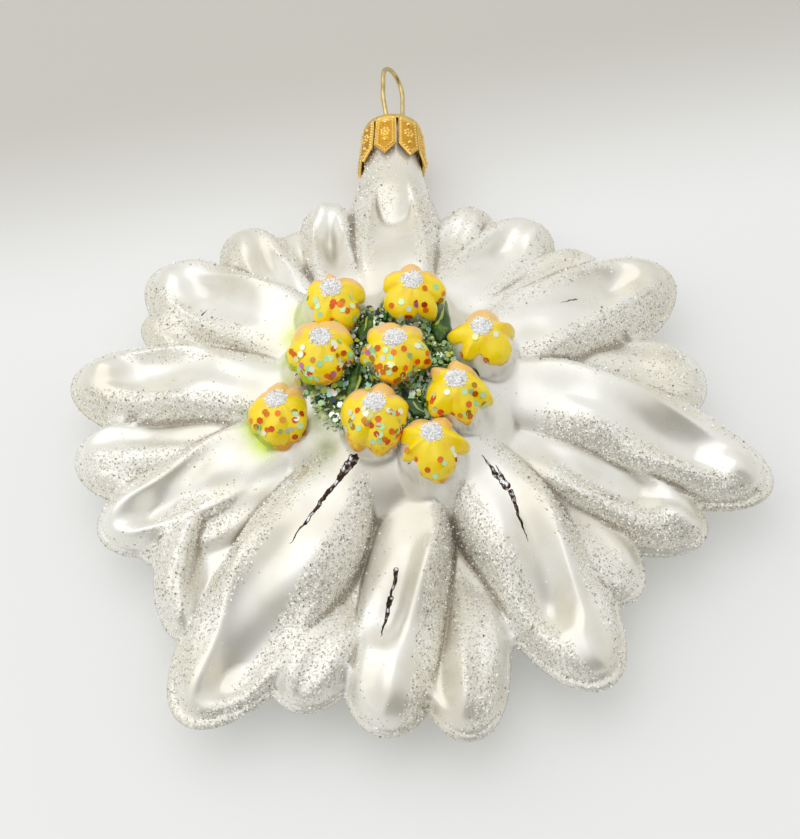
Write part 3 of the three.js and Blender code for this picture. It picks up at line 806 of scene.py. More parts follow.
def crack_group() -> NodeTree:
    """Shader group for a narrow bare streak in the lacquer, from its wide end to its fine end, in plan.

    Its mask covers the streak, and its core leaves out the streak's border.

    Returns:
        The group.
    """
    inputs = {"Wide end": ("Vector", (0, 0, 0)), "Fine end": ("Vector", (1, 0, 0)), "Width": ("Float", 0.4)}
    outputs = {"Mask": "Float", "Core": "Float"}
    graph, given, result = new_group("ShaderNodeTree", "BareStreak", inputs, outputs)
    plan, border, soft = (1, 1, 0), 0.09, 0.025
    place = graph.millimetres()
    flat = graph.vector("MULTIPLY", place, plan)
    wobble = graph.node("ShaderNodeTexNoise", {"Vector": flat, "Scale": 0.55, "Detail": 2.0}).outputs["Color"]
    wobble = graph.vector("SUBTRACT", wobble, MID_GREY)
    flat = graph.vector("MULTIPLY", graph.vector("ADD", flat, wobble), plan)
    line = graph.vector("SUBTRACT", given.outputs["Fine end"], given.outputs["Wide end"])
    offset = graph.vector("SUBTRACT", flat, given.outputs["Wide end"])
    squared = graph.vector("DOT_PRODUCT", line, line)
    share = graph.math("DIVIDE", graph.vector("DOT_PRODUCT", offset, line), squared)
    held = graph.node("ShaderNodeClamp", {0: share}).outputs[0]
    away = graph.vector("DISTANCE", offset, graph.vector("SCALE", line, scale=held))
    ragged = graph.math("MULTIPLY_ADD", graph.noise(flat, 1.6, 1.5), 0.9, 0.55)
    taper = graph.math("MULTIPLY_ADD", graph.math("SUBTRACT", 1.0, held), 0.9, 0.1)
    width = graph.times(graph.times(given.outputs["Width"], ragged), taper)
    height = graph.node("ShaderNodeSeparateXYZ", {0: place}).outputs[2]
    above = graph.math("GREATER_THAN", height, SEAM)
    for name, inset in {"Mask": 0.0, "Core": border}.items():
        depth = graph.math("SUBTRACT", graph.math("SUBTRACT", width, away), inset)
        graph.connect(result, {name: graph.times(graph.fade(depth, -soft, soft), above)})
    return graph.tree


def uneven_group() -> NodeTree:
    """Shader group for the waviness of thick brushed enamel: a height for bump and a mask for thin places.

    Returns:
        The group.
    """
    inputs, outputs = {"Scale": ("Float", 0.8)}, {"Height": "Float", "Thin": "Float"}
    graph, given, result = new_group("ShaderNodeTree", "BrushedUneven", inputs, outputs)
    place = graph.vector("SCALE", graph.millimetres(), scale=given.outputs["Scale"])
    thin = graph.fade(graph.noise(place, 0.6, 2.0), 0.5, 0.72)
    graph.connect(result, {"Height": graph.noise(place, 0.9, 3.0), "Thin": thin})
    return graph.tree


def metal_group() -> NodeTree:
    """Shader group for handled thin metal: a stain mask, a roughness and a fine height.

    Returns:
        The group.
    """
    inputs = {"Roughness": ("Float", 0.25)}
    outputs = {"Stain": "Float", "Roughness": "Float", "Height": "Float"}
    graph, given, result = new_group("ShaderNodeTree", "HandledMetal", inputs, outputs)
    place = graph.millimetres()
    stain = graph.fade(graph.noise(place, 0.7, 3.0), 0.45, 0.75)
    fine = graph.noise(place, 9.0, 2.0)
    rough = graph.math("ADD", given.outputs["Roughness"], graph.times(fine, 0.12))
    graph.connect(result, {"Stain": stain, "Roughness": rough, "Height": fine})
    return graph.tree


class Effects:
    """The shader groups, each built once."""

    def __init__(self) -> None:
        """Builds every group."""
        self.sugar = sugar_group()
        self.crack = crack_group()
        self.uneven = uneven_group()
        self.metal = metal_group()


def start_material(name: str) -> tuple[Material, Graph, Node]:
    """A new material with a Principled shader.

    Args:
        name: the material's name.

    Returns:
        The material, its graph and its Principled node.
    """
    material = bpy.data.materials.new(name)
    material.use_nodes = True
    return material, Graph(material.node_tree), material.node_tree.nodes["Principled BSDF"]


@dataclass(frozen=True)
class Streak:
    """One bare streak in the lacquer, in plan in mm."""

    wide: tuple[float, float]
    fine: tuple[float, float]
    width: float


@dataclass(frozen=True)
class PearlLacquer:
    """Pearl-white lacquer over silvered glass: sugar glitter, bare streaks, dark specks, painted crease
    shade.
    """

    pearl: str = "f5f4ed"
    warm: str = "e7e3d4"
    # painted shade: the warm brown laid into the creases
    painted_crease_shade: str = "84745a"
    olive: str = "76803a"
    lime: str = "cfe03a"
    speck: str = "2a2826"
    border: str = "17100a"
    ground: Stops = ((0.36, "141d12"), (0.46, "2f4518"), (0.54, "6f8022"), (0.62, "a8b556"))
    mirror: Stops = ((0.0, "0c0805"), (0.42, "2a1a0e"), (0.5, "4c3826"), (0.58, "8f8f92"), (0.66, "d5d6d8"))
    painted_crease_shade_share: float = 0.62
    sugar_share: float = 0.8
    speck_radius: float = 0.024
    metallic: float = 0.45
    roughness: tuple[float, float] = (0.27, 0.36)
    coat: float = 0.07
    coat_roughness: float = 0.2
    streaks: tuple[Streak, ...] = (
        Streak((-5.1, -10.9), (-9.9, -16.8), 0.62),
        Streak((-8.2, -14.6), (-13.6, -22.5), 0.36),
        Streak((0.67, -25.2), (-0.4, -29.9), 0.36),
        Streak((-0.1, -28.4), (-1.4, -33.6), 0.34),
        Streak((15.4, -14.0), (12.2, -9.6), 0.44),
        Streak((15.7, -13.9), (14.0, -11.0), 0.34),
        Streak((16.0, -14.6), (18.2, -21.1), 0.36),
        Streak((26.6, 18.1), (24.2, 16.4), 0.22),
        Streak((-27.6, 16.4), (-26.7, 17.4), 0.14),
    )

    def build(self, effects: Effects) -> Material:
        """Makes the material.

        Args:
            effects: the shader groups.

        Returns:
            The material.
        """
        material, graph, shader = start_material(Slot.PEARL.value)
        place = graph.millimetres()
        colour = graph.mix(graph.fade(graph.noise(place, 0.09, 3.0), 0.4, 0.65), self.pearl, self.warm)
        patchy = graph.math("MULTIPLY_ADD", graph.noise(place, 0.8, 3.0), 0.7, 0.65)
        for name, code in (("olive", self.olive), ("lime", self.lime)):
            colour = graph.mix(graph.times(graph.attribute(name), patchy), colour, code)
        ground = graph.ramp(graph.noise(place, 0.75, 4.0), self.ground)
        colour = graph.mix(graph.attribute("coarse"), colour, ground)
        sugar = graph.node("ShaderNodeGroup", {"Cover": graph.attribute("glitter")}, node_tree=effects.sugar)
        grains = sugar.outputs["Mask"]
        colour = graph.mix(graph.times(grains, self.sugar_share), colour, sugar.outputs["Colour"])
        # Painted shade: the lacquer turns warm brown where the front lies deep in a crease.
        painted_crease_shade = graph.fade(graph.attribute("recess"), 0.08, 0.6)
        colour = graph.mix(graph.times(painted_crease_shade, self.painted_crease_shade_share), colour, self.painted_crease_shade)
        colour = graph.mix(self.specks(graph, place), colour, self.speck)
        bare, core = self.bare(graph, effects)
        colour = graph.mix(bare, colour, self.border)
        colour = graph.mix(core, colour, graph.ramp(graph.noise(place, 1.5, 2.0), self.mirror))
        roughness = graph.blend(graph.fade(graph.noise(place, 0.25, 2.0), 0.3, 0.7), *self.roughness)
        graph.connect(shader, {
            "Base Color": colour,
            "Metallic": graph.blend(bare, graph.blend(grains, self.metallic, 0.2), 0.9),
            "Roughness": graph.blend(bare, graph.blend(grains, roughness, 0.22), 0.14),
            "Normal": sugar.outputs["Normal"],
            "Coat Weight": self.coat, "Coat Roughness": self.coat_roughness, "IOR": 1.5,
        })
        return material

    def specks(self, graph: Graph, place: NodeSocket) -> NodeSocket:
        """Mask of the few dark specks.

        Args:
            graph: the material's graph.
            place: position in mm.

        Returns:
            The mask.
        """
        cells = graph.node("ShaderNodeTexVoronoi", {"Vector": place, "Scale": 0.17})
        split = graph.node("ShaderNodeSeparateColor", {0: cells.outputs["Color"]})
        rare = graph.math("LESS_THAN", split.outputs[0], 0.3)
        return graph.times(graph.math("LESS_THAN", cells.outputs["Distance"], self.speck_radius), rare)

    def bare(self, graph: Graph, effects: Effects) -> list[NodeSocket]:
        """Mask and core of all the bare streaks together.

        Args:
            graph: the material's graph.
            effects: the shader groups.

        Returns:
            The two masks.
        """
        totals: list[Value] = [0.0, 0.0]
        for streak in self.streaks:
            ends = {"Wide end": (*streak.wide, 0.0), "Fine end": (*streak.fine, 0.0)}
            node = graph.node("ShaderNodeGroup", {**ends, "Width": streak.width}, node_tree=effects.crack)
            pairs = zip(totals, ("Mask", "Core"))
            totals = [graph.math("MAXIMUM", total, node.outputs[name]) for total, name in pairs]
        return totals


@dataclass(frozen=True)
class Enamel:
    """Thick glossy brushed enamel.

    Each wash is an attribute of the piece, a colour and how ragged its border is.
    """

    slot: Slot
    base: str
    thin: str
    washes: tuple[tuple[str, str, float], ...] = ()
    roughness: float = 0.24
    coat: float = 0.35

    def build(self, effects: Effects) -> Material:
        """Makes the material.

        Args:
            effects: the shader groups.

        Returns:
            The material.
        """
        material, graph, shader = start_material(self.slot.value)
        uneven = graph.node("ShaderNodeGroup", node_tree=effects.uneven)
        colour = graph.mix(graph.times(uneven.outputs["Thin"], 0.6), self.base, self.thin)
        patch = graph.math("SUBTRACT", graph.noise(graph.millimetres(), 0.9, 4.0), 0.5)
        for name, code, ragged in self.washes:
            share = graph.math("MULTIPLY_ADD", patch, ragged, graph.attribute(name))
            colour = graph.mix(graph.fade(share, 0.38, 0.62), colour, code)
        brushed = {"Strength": 0.35, "Distance": 0.25 * MM, "Height": uneven.outputs["Height"]}
        graph.connect(shader, {
            "Base Color": colour, "Roughness": self.roughness,
            "Normal": graph.node("ShaderNodeBump", brushed).outputs[0],
            "Coat Weight": self.coat, "Coat Roughness": 0.1,
        })
        return material


@dataclass(frozen=True)
class ThinMetal:
    """Gilt metal with light stains and a fine grain.

    `ground` is painted shade: a browner colour laid where the stamp left the sheet low, by the attribute
    `raised`.
    """

    slot: Slot
    base: str
    stain: str
    roughness: float
    ground: str = ""

    def build(self, effects: Effects) -> Material:
        """Makes the material.

        Args:
            effects: the shader groups.

        Returns:
            The material.
        """
        material, graph, shader = start_material(self.slot.value)
        wear = graph.node("ShaderNodeGroup", {"Roughness": self.roughness}, node_tree=effects.metal)
        colour = graph.mix(graph.times(wear.outputs["Stain"], 0.55), self.base, self.stain)
        # Painted shade in the stamp's low places, round its beads, dots and rosette.
        if self.ground:
            colour = graph.mix(graph.attribute("raised"), self.ground, colour)
        grain = {"Strength": 0.12, "Distance": 0.05 * MM, "Height": wear.outputs["Height"]}
        graph.connect(shader, {
            "Base Color": colour, "Metallic": 1.0, "Roughness": wear.outputs["Roughness"],
            "Normal": graph.node("ShaderNodeBump", grain).outputs[0],
        })
        return material


@dataclass(frozen=True)
class Grains:
    """Loose shiny grains, each in its own colour from the attribute `tint`."""

    name: str
    stops: Stops
    metallic: float
    roughness: float

    def build(self) -> Material:
        """Makes the material.

        Returns:
            The material.
        """
        material, graph, shader = start_material(self.name)
        tint = graph.attribute("tint")
        gloss = graph.math("MULTIPLY_ADD", graph.math("FRACT", graph.times(tint, 17.0)), 0.2, self.roughness)
        colour = graph.ramp(tint, self.stops, stepped=True)
        graph.connect(shader, {"Base Color": colour, "Metallic": self.metallic, "Roughness": gloss})
        return material


class Finishes:
    """Every material of the ornament."""

    def __init__(self) -> None:
        """Builds them."""
        effects = Effects()
        self.pearl = PearlLacquer().build(effects)
        # In the yellow, the peach wash on each floret's far side is painted sheen, and the orange wash low on
        # its near side is painted shade.
        self.yellow = Enamel(Slot.YELLOW, "ffe30a", "ffd010", (
            ("far_sheen", "f9ca78", 1.5), ("near_low_shade", "f6aa10", 1.3), ("lime", "b4cc1e", 1.2),
            ("dot", "f4f3f0", 0.4),
        )).build(effects)
        self.green = Enamel(Slot.GREEN, "2c5410", "7d9c26", (
            ("dark", "12240a", 1.2), ("pale", "b9cb52", 0.9),
        ), roughness=0.22, coat=0.0).build(effects)
        # The sheet's last colour is painted shade for the stamp's low places.
        self.sheet = ThinMetal(Slot.SHEET, "ffe08a", "f0bf50", 0.2, "e0a83a").build(effects)
        self.wire = ThinMetal(Slot.WIRE, "d9c58c", "b79a55", 0.16).build(effects)
        self.sugar = Grains("sugar_grains", (
            (0.0, "8f8872"), (0.07, "cdc8b6"), (0.2, "f0ede2"), (0.45, "ffffff"),
        ), 0.2, 0.15).build()
        self.crystal = Grains("crystal_dots", (
            (0.0, "d6d5d2"), (0.12, "f0f0ee"), (0.35, "ffffff"),
        ), 0.0, 0.18).build()
        self.coarse = Grains("coarse_glitter", (
            (0.0, "2c4d2c"), (0.1, "5c8f4a"), (0.24, "a6cf94"), (0.4, "dcedd0"), (0.56, "f8fbf2"),
            (0.74, "9ccabc"), (0.86, "27384c"), (0.91, "c3d055"),
        ), 0.35, 0.16).build()
        self.sequins = Grains(Slot.SEQUINS.value, (
            (0.0, "c9efb8"), (0.2, "f2f7dc"), (0.34, "a9e6a8"), (0.46, "e9f0a0"), (0.5, "e8751c"),
            (0.7, "d8551a"), (0.84, "c08a1e"), (0.93, "f0a03c"), (0.98, "d77fb0"),
        ), 0.45, 0.14).build()


# ------------------------------------------------------------------ scattering


@dataclass(frozen=True)
class Scatter:
    """Geometry Nodes recipe that strews small solids over a surface.

    `density` is per square millimetre where the host's attribute `mask` is 1. `size` is a grain's radius in
    mm, `flat` and `top` are its depth and its top radius in shares of that, `spread` is how much grains
    differ, and `lift` is their height above the host in mm. Those that are `lying` `lean` a little.
    """

    mask: str
    density: float
    size: float
    seed: int
    corners: int = 3
    flat: float = 1.2
    top: float = 0.45
    spread: float = 0.45
    lying: bool = False
    lean: float = 0.2
    lift: float = 0.0

    def tree(self, material: Material) -> NodeTree:
        """Builds the node tree, with its sizes as named inputs.

        Args:
            material: what the solids are made of.

        Returns:
            The tree.
        """
        inputs = {
            "Geometry": ("Geometry", None), "Density": ("Float", self.density / MM**2),
            "Size": ("Float", self.size * MM), "Seed": ("Int", self.seed),
        }
        name = f"Strew_{self.mask}"
        graph, given, result = new_group("GeometryNodeTree", name, inputs, {"Geometry": "Geometry"})
        points = graph.node("GeometryNodeDistributePointsOnFaces", {
            "Mesh": given.outputs["Geometry"], "Seed": given.outputs["Seed"],
            "Density": graph.times(graph.stored(self.mask), given.outputs["Density"]),
        }, distribute_method="RANDOM")
        size = given.outputs["Size"]
        grain = graph.node("GeometryNodeMeshCone", {
            "Vertices": self.corners, "Side Segments": 1, "Fill Segments": 1,
            "Radius Top": graph.times(size, self.top), "Radius Bottom": size,
            "Depth": graph.times(size, self.flat),
        }, fill_type="NGON")
        if self.lying:
            lean = self.lean
            tilt = graph.random((-lean, -lean, 0.0), (lean, lean, ALL_ROUND), self.seed + 2)
            rotation = graph.node("FunctionNodeRotateRotation", {
                "Rotation": points.outputs["Rotation"], "Rotate By": tilt,
            }, rotation_space="LOCAL").outputs[0]
        else:
            rotation = graph.random((0.0, 0.0, 0.0), (ALL_ROUND, ALL_ROUND, ALL_ROUND), self.seed + 2)
        scale = graph.random(1 - self.spread, 1 + self.spread, self.seed + 1)
        raised = graph.node("GeometryNodeSetPosition", {
            "Geometry": points.outputs["Points"],
            "Offset": graph.vector("SCALE", points.outputs["Normal"], scale=self.lift * MM),
        })
        placed = graph.node("GeometryNodeInstanceOnPoints", {
            "Points": raised.outputs[0], "Instance": grain.outputs["Mesh"],
            "Rotation": rotation, "Scale": scale,
        })
        tint = graph.math("ADD", graph.random(0.0, 1.0, self.seed + 3), graph.stored("zone"))
        named = graph.node("GeometryNodeStoreNamedAttribute", {
            "Geometry": placed.outputs[0], "Name": "tint", "Value": graph.math("MODULO", tint, 1.0),
        }, data_type="FLOAT", domain="INSTANCE")
        graph.coat(named.outputs[0], material, result)
        return graph.tree

    def strew(self, name: str, host: Object, slot: Slot, material: Material) -> None:
        """Strews the solids over a copy of the host and makes them one piece."""
        attach(run_tree(name, host.data, self.tree(material), {"Seed": self.seed}), slot, material)


def run_tree(name: str, mesh: Mesh, tree: NodeTree, values: Mapping[str, Value]) -> Object:
    """Runs a Geometry Nodes tree on a copy of a mesh.

    Args:
        name: name of the resulting object.
        mesh: what goes into the tree.
        tree: the node tree.
        values: value of each named input of the modifier.

    Returns:
        A new object with a plain mesh and no modifier.
    """
    carrier = bpy.data.objects.new(f"{name}_carrier", mesh.copy())
    bpy.context.scene.collection.objects.link(carrier)
    modifier = carrier.modifiers.new("tree", "NODES")
    modifier.node_group = tree
    for item in tree.interface.items_tree:
        if item.item_type == "SOCKET" and item.in_out == "INPUT" and item.name in values:
            modifier[item.identifier] = values[item.name]
    bpy.context.view_layer.update()
    depsgraph = bpy.context.evaluated_depsgraph_get()
    evaluated = carrier.evaluated_get(depsgraph)
    plain = bpy.data.meshes.new_from_object(evaluated, preserve_all_data_layers=True, depsgraph=depsgraph)
    plain.name = name
    bpy.data.objects.remove(carrier)
    piece = bpy.data.objects.new(name, plain)
    bpy.context.scene.collection.objects.link(piece)
    return piece


def attach(piece: Object, slot: Slot, material: Material, *nodes: str) -> None:
    """Gives a piece its material and its body, and hides the frame nodes that it stands for.

    Args:
        piece: the piece.
        slot: not used.
        material: what it is made of.
        *nodes: names of frame nodes.
    """
    piece.data.materials.clear()
    piece.data.materials.append(material)
    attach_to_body(piece, BODY)
    if nodes:
        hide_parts(*nodes)
    LOG.info("%s: %d faces", piece.name, len(piece.data.polygons))


# ------------------------------------------------------------------ glass


@dataclass(frozen=True)
class Stain:
    """Soft round patch of overspray in plan: middle, radius and strength."""

    x: float
    y: float
    radius: float
    strength: float


@dataclass
class GlassFlower:
    """The blown flower: a fine closed skin over the relief, with its seam bead and neck."""

    sectors: int = 640
    outline_directions: int = 7200
    outline_points: int = 2600
    outline_blur: float = 2.0
    normal_blur: float = 1.2
    core_radius: float = 22.0
    insets: tuple[float, ...] = (0.12, 0.3, 0.5, 0.75, 1.1)
    shares: int = 44
    core_radii: tuple[float, float, float] = (21.6, 0.3, -0.42)
    core_halvings: tuple[float, ...] = (22, 9, 4)
    back_insets: tuple[float, ...] = (0.15, 0.5, 1.1)
    back_shares: int = 12
    back_radii: tuple[float, ...] = (20.5, 19, 17.5, 16, 14.5, 13, 11.5, 10, 9, 8, 4)
    back_halvings: tuple[float, ...] = (21, 15)
    bead: float = 0.17
    bead_glitter: float = 0.55
    lip: float = 0.5
    limes: tuple[Stain, ...] = (
        Stain(-17.6, -7.0, 2.0, 0.9), Stain(-19.2, -4.2, 1.7, 0.8), Stain(-13.4, 9.6, 1.9, 0.9),
        Stain(-14.2, 5.4, 1.5, 0.8), Stain(-12.8, 13.2, 1.5, 0.6), Stain(-14.6, 1.6, 1.3, 0.5),
    )
    olives: tuple[Stain, ...] = (
        Stain(-10.6, -10.8, 2.2, 0.45), Stain(-8.4, -9.0, 1.8, 0.6), Stain(-13.0, -12.6, 2.4, 0.28),
        Stain(-10.4, -5.2, 2.4, 0.7),
    )
    name: str = "pearl_glass_flower"

    def outline(self) -> tuple[Array, Array]:
        """Evenly spaced points of the flower's outline and the directions that point out of it.

        Returns:
            Points in plan and unit vectors.
        """
        angles = np.linspace(0, 2 * np.pi, self.outline_directions, endpoint=False)
        radius = RELIEF.outline_radius(angles)
        line = np.column_stack([radius * np.cos(angles), radius * np.sin(angles)])
        line = self.blurred(self.spaced(line, self.outline_points), self.outline_blur)
        curve = self.spaced(line, self.sectors)
        along = np.roll(curve, -1, 0) - np.roll(curve, 1, 0)
        out = np.column_stack([along[:, 1], -along[:, 0]])
        out = self.blurred(out / np.linalg.norm(out, axis=1, keepdims=True), self.normal_blur)
        return curve, out / np.linalg.norm(out, axis=1, keepdims=True)

    @staticmethod
    def spaced(line: Array, count: int) -> Array:
        """Points at equal distances along a closed line, from its first point on.

        Args:
            line: points of the line.
            count: number of new points.

        Returns:
            The new points.
        """
        closed = np.vstack([line, line[:1]])
        length = np.concatenate([[0], np.cumsum(np.linalg.norm(np.diff(closed, axis=0), axis=1))])
        at = np.arange(count) * length[-1] / count
        return np.column_stack([np.interp(at, length, closed[:, i]) for i in (0, 1)])

    @staticmethod
    def blurred(values: Array, spread: float) -> Array:
        """Closed row of values, blurred over `spread` steps.

        Args:
            values: the row.
            spread: width of the blur.

        Returns:
            The blurred row.
        """
        reach = math.ceil(3 * spread)
        weights = np.exp(-0.5 * (np.arange(-reach, reach + 1) / spread) ** 2)
        weights /= weights.sum()
        return sum(w * np.roll(values, k, 0) for k, w in zip(range(-reach, reach + 1), weights))

    def plan_rings(self, curve: Array, out: Array, insets: Sequence[float], steps: int) -> list[Array]:
        """Rings in plan from the outline's inside to the core's circle.

        Args:
            curve: the outline.
            out: directions out of it.
            insets: distances of the first rings inside it.
            steps: number of rings from there to the core.

        Returns:
            The rings, outermost first.
        """
        rings = [curve - inset * out for inset in insets]
        last = rings[-1]
        radius = np.hypot(last[:, 0], last[:, 1])
        angle = np.unwrap(np.arctan2(last[:, 1], last[:, 0]))
        even = directions(self.sectors)
        even += (angle - even).mean()
        for step in range(1, steps + 1):
            share = step / steps
            turn = angle + (even - angle) * smooth(share, 0, 0.9)
            reach = radius + (self.core_radius - radius) * share
            rings.append(np.column_stack([reach * np.cos(turn), reach * np.sin(turn)]))
        return rings

    @staticmethod
    def core_rings(edge: Array, radii: Sequence[float], halvings: Sequence[float]) -> list[Array]:
        """Round rings inside `edge`, with half the points below each radius in `halvings`, and the pole.

        Args:
            edge: the ring round them.
            radii: their radii.
            halvings: radii at which the number of points halves.

        Returns:
            The rings, outermost first.
        """
        rings = []
        for radius in radii:
            kept = edge[:: 2 ** sum(radius < limit for limit in halvings)]
            rings.append(kept / np.linalg.norm(kept, axis=1, keepdims=True) * radius)
        return [*rings, np.zeros((1, 2))]

    def build(self, material: Material) -> Object:
        """Makes the flower's mesh with its glitter, crease depth for painted shade, and overspray attributes.

        Args:
            material: what it is made of.

        Returns:
            The flower.
        """
        curve, out = self.outline()
        front = self.plan_rings(curve, out, self.insets, self.shares)
        front += self.core_rings(front[-1], np.arange(*self.core_radii), self.core_halvings)
        back = self.plan_rings(curve, out, self.back_insets, self.back_shares)
        back += self.core_rings(back[-1], self.back_radii, self.back_halvings)
        rings = [*front[::-1], curve, curve + self.bead * out, curve, *back]
        heights = [
            *[SEAM + RELIEF.front(ring[:, 0], ring[:, 1]) for ring in front[::-1]],
            *[np.full(self.sectors, SEAM + rise) for rise in (self.bead, 0.0, -self.bead)],
            *[SEAM - RELIEF.back(ring[:, 0], ring[:, 1]) for ring in back],
        ]
        points = np.column_stack([np.vstack(rings), np.concatenate(heights)])
        faces = ring_faces([len(ring) for ring in rings])
        neck, neck_faces = self.mouth()
        faces += [tuple(corner + len(points) for corner in face) for face in neck_faces]
        marks = self.marks(points, sum(len(ring) for ring in front))
        bare = np.zeros(len(neck))
        attributes = {key: np.concatenate([value, bare]) for key, value in marks.items()}
        piece = make_piece(self.name, np.vstack([points, neck]), faces, attributes)
        attach(piece, Slot.PEARL, material, "glass_body")
        return piece

    def mouth(self) -> tuple[Array, list[Face]]:
        """The neck's open end under the cap, as a closed cup.

        Returns:
            Points in mm and faces.
        """
        outer = RELIEF.neck[-1][0] - 0.02
        inner = outer - self.lip
        inside = [(0, 51.2), (inner, 51.2), (inner, 53.4)]
        outside = [(outer - self.lip / 2, 53.6), (outer, 53.4), (outer, 50.5), (0, 50.5)]
        return turned_body([*inside, *outside], 48)

    def marks(self, points: Array, front_count: int) -> dict[str, Array]:
        """Attributes that place glitter, painted crease shade and paint.

        Args:
            points: all points of the skin.
            front_count: how many of them are on the front.

        Returns:
            A number for each point, by name.
        """
        x, y, z = points.T
        top = np.zeros(len(points), bool)
        top[:front_count] = True
        glitter = np.zeros(len(points))
        glitter[front_count : front_count + 3 * self.sectors] = self.bead_glitter
        glitter[:front_count] = RELIEF.glitter(x[:front_count], y[:front_count])
        recess = np.zeros(len(points))
        recess[:front_count] = RELIEF.recess(x[:front_count], y[:front_count], z[:front_count] - SEAM)
        valley = self.valley(x, y) * top
        return {
            "glitter": glitter * (1 - valley),
            "recess": recess,
            "olive": self.stained(x, y, self.olives) * top,
            "lime": self.stained(x, y, self.limes) * top,
            "coarse": valley,
        }

    @staticmethod
    def valley(x: Array, y: Array) -> Array:
        """Where the ground between the knobs is painted and strewn with coarse glitter.

        Args:
            x: X of the points in mm.
            y: Y of the points in mm.

        Returns:
            Shares from 0 to 1.
        """
        inside = 1 - smooth(np.hypot((x + 1.5) / 1.25, (y - 2.2) / 1.2), 7.6, 9.6)
        nearest = np.min([np.hypot(x - knob.x, y - knob.y) for knob in KNOBS], axis=0)
        return inside * smooth(nearest, 3.6, 4.4)

    @staticmethod
    def stained(x: Array, y: Array, stains: Sequence[Stain]) -> Array:
        """Strength of the overspray at each point.

        Args:
            x: X of the points in mm.
            y: Y of the points in mm.
            stains: the patches.

        Returns:
            Shares from 0 to 1.
        """
        total = np.zeros_like(x)
        for stain in stains:
            total += stain.strength * np.exp(-(((x - stain.x) ** 2 + (y - stain.y) ** 2) / stain.radius**2))
        return np.clip(total, 0, 1)


# ------------------------------------------------------------------ florets and leaves


